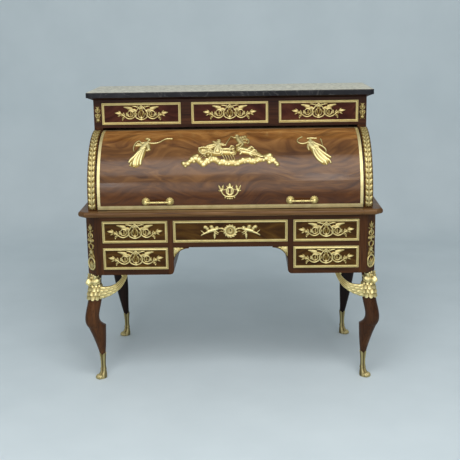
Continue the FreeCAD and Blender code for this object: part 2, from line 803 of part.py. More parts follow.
def ledge():
    half = "(Sizes.ledge_width / 2)"
    back = "(Sizes.ledge_depth / 2)"
    body, pad = padded("ledge_end", "XY_Plane", [
        (LEDGE_INNER, LEDGE_FRONT),
        (f"({half} - Sizes.ledge_cant)", LEDGE_FRONT),
        (half, f"({LEDGE_FRONT} + Sizes.ledge_cant)"),
        (half, back),
        (LEDGE_INNER, back),
    ], "Sizes.ledge_thick")
    inner = value(LEDGE_INNER)
    rear = value(back)

    def is_nosing(edge):
        box = edge.BoundBox
        return is_level(edge) and box.XMax > inner + 1 and box.YMin < rear - 1

    rounded(body, pad, is_nosing, NOSE_RADIUS)
    body.setExpression("Placement.Base.z", CASE_TOP)
    height = (CASE_TOP, LEDGE_TOP)
    rear_board = board(both_sides(LEDGE_INNER), (f"({SLIDE_BACK} + Sizes.slide_gap)", back), height)
    group("ledge", [body, flipped(body), rear_board])
    bearer = board((BEARER_INNER, LEDGE_INNER), (f"({NOSING_BACK} + Sizes.slide_gap)", SLIDE_BACK), height)
    group("slide_bearers", [bearer, flipped(bearer)])


def writing_slide():
    """A board behind a wide rounded nosing, with a sunk field for the leather."""
    thick = f"({SLIDE_TOP} - {SLIDE_BOTTOM})"
    body, pad = padded("slide_board", "XY_Plane", [
        (negative(NOSING_HALF), LEDGE_FRONT),
        (NOSING_HALF, LEDGE_FRONT),
        (NOSING_HALF, NOSING_BACK),
        (SLIDE_HALF, NOSING_BACK),
        (SLIDE_HALF, SLIDE_BACK),
        (negative(SLIDE_HALF), SLIDE_BACK),
        (negative(SLIDE_HALF), NOSING_BACK),
        (negative(NOSING_HALF), NOSING_BACK),
    ], thick)
    front = value(LEDGE_FRONT)

    def is_nosing(edge):
        return is_level(edge) and edge.BoundBox.YMax < front + 1

    nosing = rounded(body, pad, is_nosing, NOSE_RADIUS)
    doc.recompute()
    half = f"({SLIDE_HALF} - Sizes.leather_border)"
    low = f"({LEDGE_FRONT} + Sizes.leather_border)"
    high = f"({low} + Sizes.leather_depth)"
    sketch = sketch_on(body, "XY_Plane")
    sketch.setExpression("AttachmentOffset.Base.z", f"{thick} - Sizes.leather_thick")
    polygon(sketch, [(negative(half), low), (half, low), (half, high), (negative(half), high)])
    pocket = body.newObject("PartDesign::Pocket", "LeatherField")
    pocket.Profile = sketch
    pocket.Reversed = True
    pocket.setExpression("Length", "Sizes.leather_thick")
    doc.recompute()
    if not pocket.Shape.Volume < nosing.Shape.Volume:
        raise RuntimeError("the leather field cut nothing")
    body.setExpression("Placement.Base.z", SLIDE_BOTTOM)
    node("slide_board", body)
    leather = board(both_sides(half), (low, high), (f"({SLIDE_TOP} - Sizes.leather_thick)", SLIDE_TOP))
    node("slide_leather", leather)


# Nest of pigeonholes and small drawers behind the roll front
def nest():
    depth = (NEST_FRONT, f"({NEST_BACK} - Sizes.nest_back)")
    full = both_sides(NEST_HALF)
    inside = both_sides(f"({NEST_HALF} - Sizes.nest_board)")
    end = (f"({NEST_HALF} - Sizes.nest_board)", NEST_HALF)
    divider = (NEST_CENTRE_HALF, f"({NEST_CENTRE_HALF} + Sizes.nest_board)")
    middle = both_sides("(Sizes.nest_board / 2)")
    top = f"({NEST_TOP} - Sizes.nest_board)"
    bay = (NEST_BAY, NEST_SHELF)
    holes = (NEST_HOLES, top)
    quarter = f"({NEST_CENTRE_HALF} + Sizes.nest_board + {NEST_BAY_WIDTH} / 2)"
    wing = (f"({quarter} - Sizes.nest_board / 2)", f"({quarter} + Sizes.nest_board / 2)")
    pieces = [
        board(full, depth, (LEDGE_TOP, NEST_BAY)),
        board(full, depth, (top, NEST_TOP)),
        board(inside, depth, (NEST_SHELF, NEST_HOLES)),
        board(end, depth, (NEST_BAY, top)),
        board(mirrored(end), depth, (NEST_BAY, top)),
        board(full, (f"({NEST_BACK} - Sizes.nest_back)", NEST_BACK), (LEDGE_TOP, NEST_TOP)),
        board(middle, depth, holes),
    ]
    for span in (divider, mirrored(divider)):
        pieces.append(board(span, depth, bay))
        pieces.append(board(span, depth, holes))
    for span in (wing, mirrored(wing)):
        pieces.append(board(span, depth, holes))
    group("nest_case", pieces)


def drawer_boards(x, front, depth, z, thick, wall):
    """The boards of a drawer that fills a bay, less its clearances: front, two sides, back and bottom."""
    left, right = f"({x[0]} + Sizes.drawer_gap)", f"({x[1]} - Sizes.drawer_gap)"
    low, high = f"({z[0]} + Sizes.runner_gap)", f"({z[1]} - Sizes.drawer_gap)"
    behind = f"({front} + {thick})"
    rear = f"({front} + {depth})"
    inner_left, inner_right = f"({left} + {wall})", f"({right} - {wall})"
    side_top = f"({high} - Sizes.side_drop)"
    floor = f"({low} + Sizes.bottom_groove)"
    rear_face = f"({rear} - {wall})"
    return [
        board((left, right), (front, behind), (low, high)),
        board((left, inner_left), (behind, rear), (low, side_top)),
        board((inner_right, right), (behind, rear), (low, side_top)),
        board((inner_left, inner_right), (rear_face, rear), (low, side_top)),
        board((inner_left, inner_right), (behind, rear_face), (floor, f"({floor} + Sizes.drawer_bottom)")),
    ]


def nest_drawer(label, x):
    pieces = drawer_boards(x, NEST_FRONT, "Sizes.nest_drawer_depth", (NEST_BAY, NEST_SHELF),
                           "Sizes.nest_front_thick", "Sizes.nest_drawer_side")
    neck = doc.addObject("Part::Cylinder", "Neck")
    neck.setExpression("Radius", "Sizes.knob_radius / 2")
    neck.setExpression("Height", "Sizes.knob_length")
    ball = doc.addObject("Part::Sphere", "Ball")
    ball.setExpression("Radius", "Sizes.knob_radius")
    forward = FreeCAD.Rotation(V(1, 0, 0), 90)
    neck.Placement = FreeCAD.Placement(V(0, 0, 0), forward)
    centre = f"(({x[0]} + {x[1]}) / 2)"
    height = f"(({NEST_BAY} + {NEST_SHELF}) / 2)"
    for piece, front in ((neck, NEST_FRONT), (ball, f"({NEST_FRONT} - Sizes.knob_length)")):
        piece.setExpression("Placement.Base.x", centre)
        piece.setExpression("Placement.Base.y", front)
        piece.setExpression("Placement.Base.z", height)
    group(label, pieces + [fuse([neck, ball])])


# Drawers with their gilt frames, mounts and locks
def gilt_plate(x, front, z, outline, relief):
    """A plate that stands proud of a front plane, with its back on the plane."""
    shape = plate(outline, relief)
    turn = FreeCAD.Rotation(V(1, 0, 0), V(0, 0, 1), V(0, -1, 0), "ZXY")
    piece = feature(shape)
    piece.Placement = FreeCAD.Placement(V(x, front, z), turn)
    return piece


def frame_ring(x, z, front, margin, width, relief):
    """A rectangular ring on a drawer front."""
    outer_x = (f"({x[0]} + {margin})", f"({x[1]} - {margin})")
    outer_z = (f"({z[0]} + {margin})", f"({z[1]} - {margin})")
    inner_x = (f"({outer_x[0]} + {width})", f"({outer_x[1]} - {width})")
    inner_z = (f"({outer_z[0]} + {width})", f"({outer_z[1]} - {width})")
    depth = (f"({front} - {relief})", front)
    return cut(board(outer_x, depth, outer_z), board(inner_x, depth, inner_z))


def drawer(label, x, front, depth, z):
    """A wooden drawer and its bronzes, as two nodes."""
    group(f"drawer_{label}", drawer_boards(x, front, depth, z, "Sizes.front_thick", "Sizes.drawer_side"))
    ring = frame_ring(x, z, front, "Sizes.drawer_gap", "Sizes.frame_width", "Sizes.frame_relief")
    bead = frame_ring(x, z, f"({front} - Sizes.frame_relief)", "(Sizes.drawer_gap + Sizes.bead_inset)",
                      "(Sizes.frame_width - 2 * Sizes.bead_inset)", "Sizes.bead_relief")
    middle = f"(({x[0]} + {x[1]}) / 2)"
    height = f"(({z[0]} + {z[1]}) / 2)"
    outline = lobed_outline(value(MOUNT_WIDTH), value(MOUNT_HEIGHT), 8, 0.12)
    plaque = gilt_plate(value(middle), value(front), value(height), outline, size("mount_relief"))
    behind = f"({front} + Sizes.front_thick)"
    lock_top = f"({z[1]} - Sizes.drawer_gap)"
    lock = board((f"({middle} - Sizes.lock_width / 2)", f"({middle} + Sizes.lock_width / 2)"),
                 (behind, f"({behind} + Sizes.lock_thick)"), (f"({lock_top} - Sizes.lock_height)", lock_top))
    group(f"bronzes_{label}", [fuse([ring, bead]), plaque, lock])


def all_drawers():
    side = (SIDE_INNER, SIDE_OUTER)
    centre = both_sides(CENTRE_HALF)
    upper, lower = (UPPER_BAY, UPPER_BAY_TOP), (LOWER_BAY, LOWER_BAY_TOP)
    top_side = (TOP_SIDE_INNER, TOP_SIDE_OUTER)
    top_row = (TOP_BAY, TOP_BAY_TOP)
    drawer("top_left", mirrored(top_side), TOP_FRONT, TOP_DRAWER_DEPTH, top_row)
    drawer("top_centre", both_sides(TOP_CENTRE_HALF), TOP_FRONT, TOP_DRAWER_DEPTH, top_row)
    drawer("top_right", top_side, TOP_FRONT, TOP_DRAWER_DEPTH, top_row)
    drawer("left_upper", mirrored(side), CASE_FRONT, BASE_DRAWER_DEPTH, upper)
    drawer("left_lower", mirrored(side), CASE_FRONT, BASE_DRAWER_DEPTH, lower)
    drawer("centre", centre, CASE_FRONT, BASE_DRAWER_DEPTH, upper)
    drawer("right_upper", side, CASE_FRONT, BASE_DRAWER_DEPTH, upper)
    drawer("right_lower", side, CASE_FRONT, BASE_DRAWER_DEPTH, lower)
    nest_side = (f"({NEST_CENTRE_HALF} + Sizes.nest_board)", f"({NEST_HALF} - Sizes.nest_board)")
    nest_drawer("nest_drawer_left", mirrored(nest_side))
    nest_drawer("nest_drawer_centre", both_sides(NEST_CENTRE_HALF))
    nest_drawer("nest_drawer_right", nest_side)


# Base case
def softened(upright):
    """An upright board beside the knees, its lower inner edge rounded as far as the divider's wall allows."""
    doc.recompute()
    knee_side = value(CENTRE_HALF)
    bottom = value(CASE_BOTTOM)

    def lower_inner(edge):
        box = edge.BoundBox
        return max(abs(box.XMin - knee_side), abs(box.XMax - knee_side), abs(box.ZMax - bottom)) < 0.001

    radius = min(size("kneehole_round"), 0.8 * size("divider_thick"))
    soft = doc.addObject("Part::Fillet", "SoftEdge")
    soft.Base = upright
    numbers = [number for number, edge in enumerate(upright.Shape.Edges, start=1) if lower_inner(edge)]
    soft.Edges = [(number, radius, radius) for number in numbers]
    upright.Visibility = False
    return soft


def base_case():
    full_height = (CASE_BOTTOM, CASE_TOP)
    rail_depth = (CASE_FRONT, POST_BACK)
    behind_rail = (POST_BACK, CASE_INSIDE_BACK)
    whole_depth = (CASE_FRONT, CASE_INSIDE_BACK)
    under_top = (CASE_BOTTOM, UPPER_BAY_TOP)
    side_bay = (SIDE_INNER, SIDE_OUTER)
    side = (f"({CASE_HALF} - Sizes.panel_thick)", CASE_HALF)
    between_posts = (POST_BACK, REAR_POST_FRONT)
    beside_rear_post = (REAR_POST_FRONT, CASE_INSIDE_BACK)
    floor = (SIDE_INNER, side[0])
    floor_height = (CASE_BOTTOM, f"({CASE_BOTTOM} + Sizes.panel_thick)")
    top_height = (UPPER_BAY_TOP, CASE_TOP)
    group("case_boards", [
        board(both_sides(SIDE_OUTER), rail_depth, top_height),
        board(both_sides(side[0]), between_posts, top_height),
        board(both_sides(SIDE_OUTER), beside_rear_post, top_height),
        board(both_sides(CENTRE_HALF), whole_depth, (LOWER_BAY_TOP, UPPER_BAY)),
        board(floor, between_posts, floor_height),
        board(mirrored(floor), between_posts, floor_height),
        board(side_bay, beside_rear_post, floor_height),
        board(mirrored(side_bay), beside_rear_post, floor_height),
    ])
    group("case_sides", [board(span, between_posts, full_height) for span in (side, mirrored(side))])
    partition = softened(board((CENTRE_HALF, SIDE_INNER), whole_depth, under_top))
    group("partitions", [partition, flipped(partition)])
    rails = []
    for span in (side_bay, mirrored(side_bay)):
        rails.append(board(span, rail_depth, (CASE_BOTTOM, LOWER_BAY)))
        rails.append(board(span, rail_depth, (LOWER_BAY_TOP, UPPER_BAY)))
    group("front_rails", rails)
    inner_run = (SIDE_INNER, f"({SIDE_INNER} + Sizes.runner_width)")
    outer_run = (f"({SIDE_OUTER} - Sizes.runner_width)", SIDE_OUTER)
    runners = []
    for span in (inner_run, outer_run, mirrored(inner_run), mirrored(outer_run)):
        runners.append(board(span, behind_rail, (floor_height[1], LOWER_BAY)))
        runners.append(board(span, behind_rail, (f"({UPPER_BAY} - Sizes.runner_height)", UPPER_BAY)))
    guide = (SIDE_OUTER, f"({SIDE_OUTER} + Sizes.panel_thick)")
    for span in (guide, mirrored(guide)):
        runners.append(board(span, between_posts, (floor_height[1], UPPER_BAY_TOP)))
    group("drawer_runners", runners)
    back_depth = (CASE_INSIDE_BACK, CASE_BACK)
    back_side = softened(board((CENTRE_HALF, SIDE_OUTER), back_depth, full_height))
    group("case_back", [
        back_side,
        flipped(back_side),
        board(both_sides(CENTRE_HALF), back_depth, (LOWER_BAY_TOP, CASE_TOP)),
    ])
    post, _ = padded("post", "XY_Plane", [
        (SIDE_OUTER, CASE_FRONT),
        (f"({CASE_HALF} - Sizes.post_cant)", CASE_FRONT),
        (CASE_HALF, f"({CASE_FRONT} + Sizes.post_cant)"),
        (CASE_HALF, POST_BACK),
        (SIDE_OUTER, POST_BACK),
    ], "Sizes.case_height")
    post.setExpression("Placement.Base.z", CASE_BOTTOM)
    rear_post = board((SIDE_OUTER, CASE_HALF), (REAR_POST_FRONT, CASE_BACK), full_height)
    group("corner_posts", [post, flipped(post), rear_post, flipped(rear_post)])


def spandrels():
    """Brackets in the kneehole's upper corners, hollowed by a round cut, and the gilt plates on them."""
    low = f"({LOWER_BAY_TOP} - Sizes.bracket_height)"
    inner = f"({CENTRE_HALF} - Sizes.bracket_width)"

    def hollowed(span, depth, height, radius):
        block = board(span, depth, height)
        scoop = doc.addObject("Part::Cylinder", "Scoop")
        scoop.setExpression("Radius", radius)
        scoop.setExpression("Height", "2 * Sizes.bracket_depth")
        scoop.Placement = FreeCAD.Placement(V(0, 0, 0), FreeCAD.Rotation(V(1, 0, 0), -90))
        scoop.setExpression("Placement.Base.x", inner)
        scoop.setExpression("Placement.Base.y", f"{CASE_FRONT} - Sizes.bracket_depth")
        scoop.setExpression("Placement.Base.z", low)
        return cut(block, scoop)

    bracket = hollowed((inner, CENTRE_HALF), (CASE_FRONT, f"({CASE_FRONT} + Sizes.bracket_depth)"),
                       (low, LOWER_BAY_TOP), "Sizes.bracket_width")
    group("kneehole_brackets", [bracket, flipped(bracket)])
    margin = "Sizes.bracket_mount_margin"
    gilt = hollowed((f"({inner} + {margin})", f"({CENTRE_HALF} - {margin})"),
                    (f"({CASE_FRONT} - Sizes.bracket_mount_relief)", CASE_FRONT),
                    (f"({low} + {margin})", f"({LOWER_BAY_TOP} - {margin})"),
                    f"(Sizes.bracket_width + {margin} / 2)")
    group("bracket_mounts", [gilt, flipped(gilt)])


def corner_mounts():
    """Tall gilt drops on the canted posts and small ones on the upper end stiles."""
    slant = 1 / math.sqrt(2)
    inset = size("post_cant") / 2
    height = value(CASE_BOTTOM) + size("case_height") / 2
    centre = V(value(CASE_HALF) - inset, value(CASE_FRONT) + inset, height)
    turn = FreeCAD.Rotation(V(slant, slant, 0), V(0, 0, 1), V(slant, -slant, 0), "ZXY")
    drop_height = size("case_height") - 2 * size("drop_end_gap")
    drop = feature(plate(lobed_outline(size("drop_width"), drop_height, 10, 0.1), size("drop_relief")))
    drop.Placement = FreeCAD.Placement(centre, turn)
    group("post_mounts", [drop, flipped(drop)])
    middle = f"(({TOP_SIDE_OUTER} + {TOP_HALF}) / 2)"
    level_of_row = f"(({TOP_BAY} + {TOP_BAY_TOP}) / 2)"
    width = size("upper_end_stile") - 2 * size("stile_side_gap")
    outline = lobed_outline(width, size("upper_drawer_height") - 2 * size("stile_end_gap"), 6, 0.14)
    small = gilt_plate(value(middle), value(TOP_FRONT), value(level_of_row), outline, size("mount_relief"))
    group("stile_mounts", [small, flipped(small)])


# Legs. A station of a leg is an ellipse: height, shift along the leg's own outward direction, depth and width
def loft(centre, outward, stations):
    """A solid through level ellipses that follow the leg's bends."""
    across = V(-outward.y, outward.x, 0)
    wires = []
    for height, shift, depth, width in stations:
        middle = centre + outward * shift + V(0, 0, height)
        ring = Part.Ellipse(middle + outward * depth, middle + across * width, middle)
        wires.append(Part.Wire([ring.toShape()]))
    return Part.makeLoft(wires, True, False)


def flat_on_floor(shape):
    """Cut away what would reach below the floor."""
    box = shape.BoundBox
    corner = V(box.XMin - 1, box.YMin - 1, -box.ZLength)
    return shape.cut(Part.makeBox(box.XLength + 2, box.YLength + 2, box.ZLength, corner))


SLIM = 0.99
DIAGONAL = V(1, -1, 0).normalize()
SIDEWAYS = V(1, 0, 0)
FRONT_LEG = V(value(CASE_HALF) - size("leg_inset"), value(CASE_FRONT) + size("leg_setback"), 0)
REAR_LEG = V(value(CASE_HALF) - size("rear_leg_inset"), value(CASE_BACK) - size("rear_leg_back"), 0)


def pair(shape):
    """A sculpted piece and its reflection."""
    return [feature(shape), feature(shape.mirror(V(0, 0, 0), V(1, 0, 0)))]


def level(share):
    """Height of a leg's station, given as a share of the bare wood between the sock and the case."""
    sock = size("sock_height")
    return sock + size(share) * (size("leg_height") - sock)


def round_station(height, shift, radius):
    return height, shift, radius, radius * SLIM


def paw(place, outward):
    """A gilt sock round an ankle, and below its crease a paw that spreads to four toes, flat on the floor."""
    cuff = size("ankle_radius") + size("sock_wall")
    top = size("paw_top")
    forward = size("paw_forward")
    length, width = size("paw_length"), size("paw_width")
    sock = loft(place, outward, [
        round_station(size("sock_height"), 0, cuff),
        round_station((size("sock_height") + top) / 2, 0, size("ankle_radius") - size("sock_wall")),
        round_station(top, 0, cuff),
    ])
    foot = loft(place, outward, [
        round_station(top, 0, cuff),
        (top * 0.72, forward * 0.15, cuff + (length - cuff) * 0.22, cuff + (width - cuff) * 0.2),
        (top * 0.45, forward * 0.5, cuff + (length - cuff) * 0.6, cuff + (width - cuff) * 0.6),
        (top * 0.2, forward * 0.85, cuff + (length - cuff) * 0.9, cuff + (width - cuff) * 0.9),
        (0, forward, length, width),
    ])
    across = V(-outward.y, outward.x, 0)
    radius = size("toe_radius")
    toes = []
    for number in (-1.5, -0.5, 0.5, 1.5):
        spread = number * radius * 1.15
        reach = forward + length - radius * (0.6 + 0.25 * abs(number))
        tip = place + outward * reach + across * spread
        toes.append(Part.makeSphere(radius, tip + V(0, 0, radius * 0.9)))
    return flat_on_floor(sock.multiFuse([foot] + toes))


def front_leg():
    """A beast's leg: a thigh that swells forward at the knee, creased at the hock over a straight shin."""
    hock = (level("hock_share"), size("hock_out"), size("hock_depth"), size("hock_width"))
    shin = loft(FRONT_LEG, DIAGONAL, [
        round_station(size("sock_height"), -size("ankle_in"), size("ankle_radius")),
        round_station(level("shin_share"), -size("shin_in"), size("shin_radius")),
        hock,
    ])
    thigh = loft(FRONT_LEG, DIAGONAL, [
        hock,
        (level("knee_share"), size("knee_out"), size("knee_depth"), size("knee_width")),
        round_station(level("collar_share"), size("collar_out"), size("collar_radius")),
        round_station(level("shoulder_share"), size("shoulder_out"), size("leg_radius")),
        round_station(size("leg_height"), 0, size("leg_radius")),
    ])
    return shin.fuse(thigh)


def rear_leg():
    """A plainer leg that leans in from the rear post to its ankle."""
    half_width = size("rear_leg_width") / 2
    half_depth = size("rear_leg_depth") / 2
    knee = size("rear_knee_width") / 2
    return loft(REAR_LEG, SIDEWAYS, [
        round_station(size("sock_height"), -size("rear_ankle_in"), size("ankle_radius")),
        round_station(level("rear_calf_share"), -size("rear_calf_in"), size("rear_calf_radius")),
        (level("rear_knee_share"), -size("rear_knee_in"), knee, knee * half_depth / half_width),
        (level("rear_thigh_share"), -size("rear_thigh_in"), half_width, half_depth),
        (size("leg_height"), 0, half_width, half_depth),
    ])


def wing(direction, aside):
    """A crescent wing that turns up to the case, with two rows of coverts lapped over its long feathers."""
    roof = size("leg_height")
    start, reach, tip = size("wing_start"), size("wing_reach"), size("wing_tip")
    low_root = V(start, 0, roof - size("wing_drop"))
    high_root = low_root + V(0, 0, size("wing_root"))
    outer_tip = V(reach, 0, roof)
    inner_tip = V(reach - tip, 0, roof)

    def bowed(first, last, sag):
        chord = last - first
        normal = V(chord.z, 0, -chord.x).normalize()
        return Part.Arc(first, (first + last) * 0.5 + normal * sag, last).toShape()

    edges = [
        bowed(low_root, outer_tip, size("wing_belly")),
        Part.LineSegment(outer_tip, inner_tip).toShape(),
        bowed(high_root, inner_tip, size("wing_hollow")),
        Part.LineSegment(high_root, low_root).toShape(),
    ]
    profile = Part.Face(Part.Wire(Part.__sortEdges__(edges)))

    def layer(thick):
        slab = profile.extrude(V(0, thick, 0))
        slab.translate(V(0, -thick / 2, 0))
        return slab

    def covert(thick, share):
        radius = share * (outer_tip - high_root).Length
        disc = Part.makeCylinder(radius, thick, high_root - V(0, thick / 2, 0), V(0, 1, 0))
        return layer(thick).common(disc)

    thick = size("wing_thick")
    feather = size("feather_thick")
    curl_radius = tip * 0.5
    curl = Part.makeCylinder(curl_radius, feather, inner_tip - V(0, feather / 2, curl_radius), V(0, 1, 0))
    solid = layer(feather).multiFuse([
        curl,
        covert((thick + feather) / 2, size("covert_share")),
        covert(thick, size("shoulder_covert_share")),
    ])
    turn = FreeCAD.Rotation(direction, V(0, 0, 1).cross(direction), V(0, 0, 1), "ZXY")
    seat = FreeCAD.Placement(FRONT_LEG + aside * size("wing_set"), turn)
    solid.Placement = seat.multiply(solid.Placement)
    return solid


def egg(place, radius, half_height):
    """A squat round head: level circles that follow an ellipse, with small flats at its two poles."""
    stations = []
    for share in (-0.96, -0.75, -0.4, 0, 0.4, 0.75, 0.96):
        stations.append(round_station(share * half_height, 0, radius * math.sqrt(1 - share * share)))
    return loft(place, DIAGONAL, stations)


def lion(leg):
    """The gilt mount round a front leg's top: breast, head with muzzle and ears, and two raised wings."""
    head_height = size("leg_height") - size("head_drop")
    bottom = level("collar_share") + size("chest_rise")
    rise = head_height - bottom
    chest_out, neck_out = size("chest_out"), size("neck_out")
    chest = loft(FRONT_LEG, DIAGONAL, [
        round_station(bottom, chest_out, size("chest_radius")),
        round_station(bottom + rise * 0.25, chest_out - (chest_out - neck_out) * 0.3, size("breast_radius")),
        round_station(bottom + rise * 0.7, neck_out, size("breast_radius")),
        round_station(head_height, neck_out, size("chest_radius")),
    ])
    radius = size("head_radius")
    head_place = FRONT_LEG + V(size("head_aside"), -size("head_forward"), head_height)
    head = egg(head_place, radius, size("head_half_height"))
    nose_place = head_place + DIAGONAL * size("muzzle_out") - V(0, 0, size("muzzle_drop"))
    muzzle = Part.makeSphere(size("muzzle_radius"), nose_place)
    across = V(-DIAGONAL.y, DIAGONAL.x, 0)
    lift = V(0, 0, size("head_half_height") * 0.62)
    ears = []
    for side in (-1, 1):
        ears.append(Part.makeSphere(size("ear_radius"), head_place + across * (side * radius * 0.6) + lift))
    wings = [wing(V(-1, 0, 0), V(0, -1, 0)), wing(V(0, 1, 0), V(1, 0, 0))]
    return chest.multiFuse([head, muzzle] + ears + wings).cut(leg)


def legs():
    leg = front_leg()
    right, left = pair(leg)
    node("front_leg_right", right)
    node("front_leg_left", left)
    right, left = pair(lion(leg))
    node("lion_right", right)
    node("lion_left", left)
    group("front_paws", pair(paw(FRONT_LEG - DIAGONAL * size("ankle_in"), DIAGONAL)))
    group("rear_legs", pair(rear_leg()))
    group("rear_paws", pair(paw(REAR_LEG - SIDEWAYS * size("rear_ankle_in"), DIAGONAL)))


def check_document():
    """Stop before anything is written if a feature failed or a node has no sound solid."""
    for item in doc.Objects:
        if {"Invalid", "Error"} & set(item.State):
            raise RuntimeError(f"{item.Label} failed: {item.State}")
    for item in nodes:
        shape = item.Shape
        if shape.isNull() or not shape.isValid() or not shape.Solids:
            raise RuntimeError(f"{item.Label} has no sound solid")


def export():
    os.makedirs("parts", exist_ok=True)
    for item in nodes:
        item.Shape.exportStep(f"parts/{item.Label}.step")
    print(f"{len(nodes)} nodes, {sum(len(item.Shape.Solids) for item in nodes)} solids")


marble_top()
cornice()
upper_case()
side_cheeks()
foliage_strips()
roll_front()
arms_and_pivots()
handles()
chariot()
dancers()
escutcheon_and_lock()
ledge()
writing_slide()
nest()
all_drawers()
base_case()
spandrels()
corner_mounts()
legs()
doc.recompute()
check_document()
export()
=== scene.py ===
# %% [markdown]
# # An Empire cylinder desk, dressed for its portrait
#
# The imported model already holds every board, hinge pin and drawer at its true size. This lesson adds what an eye
# enjoys: figured mahogany, cast and gilded bronze, polished marble and tooled leather. Every new shape is a surface
# worked out with numpy, in millimetres, and only the last step turns it into metres.

# %% Load the frame and keep its size
import json
import math

import bmesh
import bpy
import numpy as np
from mathutils import Matrix, Vector


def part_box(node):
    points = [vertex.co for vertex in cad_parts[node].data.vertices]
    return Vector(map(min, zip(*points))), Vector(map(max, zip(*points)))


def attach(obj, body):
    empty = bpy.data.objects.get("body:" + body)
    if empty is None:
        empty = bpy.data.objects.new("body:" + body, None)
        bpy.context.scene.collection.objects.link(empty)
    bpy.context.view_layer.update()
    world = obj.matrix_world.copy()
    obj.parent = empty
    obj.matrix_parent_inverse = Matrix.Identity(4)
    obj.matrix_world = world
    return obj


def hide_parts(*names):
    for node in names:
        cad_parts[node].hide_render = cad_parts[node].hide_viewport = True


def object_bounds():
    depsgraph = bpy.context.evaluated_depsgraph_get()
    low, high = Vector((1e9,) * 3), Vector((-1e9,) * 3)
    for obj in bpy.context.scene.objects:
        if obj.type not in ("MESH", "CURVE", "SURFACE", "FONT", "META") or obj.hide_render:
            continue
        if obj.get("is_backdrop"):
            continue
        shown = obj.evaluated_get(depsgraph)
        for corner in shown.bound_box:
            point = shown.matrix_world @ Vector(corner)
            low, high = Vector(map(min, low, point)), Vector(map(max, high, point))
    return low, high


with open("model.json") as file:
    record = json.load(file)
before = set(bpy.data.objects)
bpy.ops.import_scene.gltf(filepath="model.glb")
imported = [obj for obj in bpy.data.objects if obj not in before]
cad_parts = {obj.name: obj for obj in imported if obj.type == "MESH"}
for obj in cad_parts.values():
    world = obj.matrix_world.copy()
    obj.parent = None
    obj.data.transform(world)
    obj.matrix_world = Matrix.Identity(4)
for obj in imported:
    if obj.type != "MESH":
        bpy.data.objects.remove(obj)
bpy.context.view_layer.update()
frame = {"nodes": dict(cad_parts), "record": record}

# %% [markdown]
# ## Camera
#
# A camera is a point and three directions. The photographer stood about four metres back at eye height and tipped
# the camera down a little, so the point and the angles are written out and turned into a matrix.

# %% Camera
EYE = Vector((0.0759, -4.0936, 1.5706))
PITCH_DOWN, YAW_LEFT, ROLL = 0.2289, 0.0205, -0.0158
LENS_MM, SENSOR_MM = 70.8, 36


def place_camera():
    """Build the camera's axes: forward from pitch and yaw, right level with the floor, then roll about forward."""
    ahead = Vector((-math.sin(YAW_LEFT) * math.cos(PITCH_DOWN), math.cos(YAW_LEFT) * math.cos(PITCH_DOWN),
                    -math.sin(PITCH_DOWN)))
    right = Vector((math.cos(YAW_LEFT), math.sin(YAW_LEFT), 0))
    up = right.cross(ahead)
    rolled_right = right * math.cos(ROLL) + up * math.sin(ROLL)
    rolled_up = up * math.cos(ROLL) - right * math.sin(ROLL)
    camera = bpy.data.objects.new("camera", bpy.data.cameras.new("camera"))
    camera.data.lens = LENS_MM
    camera.data.sensor_width = SENSOR_MM
    axes = Matrix((rolled_right, rolled_up, -ahead)).transposed()
    camera.matrix_world = Matrix.Translation(EYE) @ axes.to_4x4()
    bpy.context.scene.collection.objects.link(camera)
    bpy.context.scene.camera = camera


place_camera()
print("camera", LENS_MM, "mm at", tuple(round(v, 2) for v in EYE))

# %% [markdown]
# ## From numbers to a mesh
#
# A surface here is a table of points and a few tables of faces. One function puts them into a mesh, because every
# piece needs the same care: faces turned outwards, crisp edges kept crisp, and a body to ride on. Each piece also
# carries a number per point called lift, which says how far that point stands out, for burnished and dull gilding
# and for painted shade in the hollows.

# %% From numbers to a mesh
MM = 0.001
PLAIN_LIFT = 0.7


def turns(count):
    """Equal angles once round, leaving out the last, which would fall on the first."""
    return np.linspace(0, 2 * math.pi, count, endpoint=False)


def cells(rows, columns, round_rows=False, round_columns=False):
    """Cells of a grid of points: each joins a point to the next one along the row and along the column."""
    number = np.arange(rows * columns).reshape(rows, columns)
    if round_rows:
        number = np.vstack([number, number[:1]])
    if round_columns:
        number = np.hstack([number, number[:, :1]])
    return np.stack([number[:-1, :-1], number[:-1, 1:], number[1:, 1:], number[1:, :-1]], axis=-1)


def surface(points, round_rows=False, lift=None):
    """A skin over rings of points, with one flat face over each end unless the last ring meets the first."""
    rows, columns = points.shape[:2]
    groups = [cells(rows, columns, round_rows, True).reshape(-1, 4)]
    if not round_rows:
        ring = np.arange(columns)
        groups.append(np.stack([ring[::-1], ring + (rows - 1) * columns]))
    flat = points.reshape(-1, 3)
    return flat, groups, np.full(len(flat), PLAIN_LIFT) if lift is None else np.asarray(lift, float).ravel()


def joined(*surfaces):
    """Several surfaces as one: each one's face numbers move up by the number of points before it."""
    starts = np.cumsum([0] + [len(points) for points, _, _ in surfaces])
    groups = [group + start for (_, own, _), start in zip(surfaces, starts) for group in own]
    return (np.concatenate([points for points, _, _ in surfaces]), groups,
            np.concatenate([lift for _, _, lift in surfaces]))


def mirrored(piece):
    """The same surface on the left: every x changes sign."""
    points, groups, lift = piece
    return points * (-1, 1, 1), [group[:, ::-1] for group in groups], lift


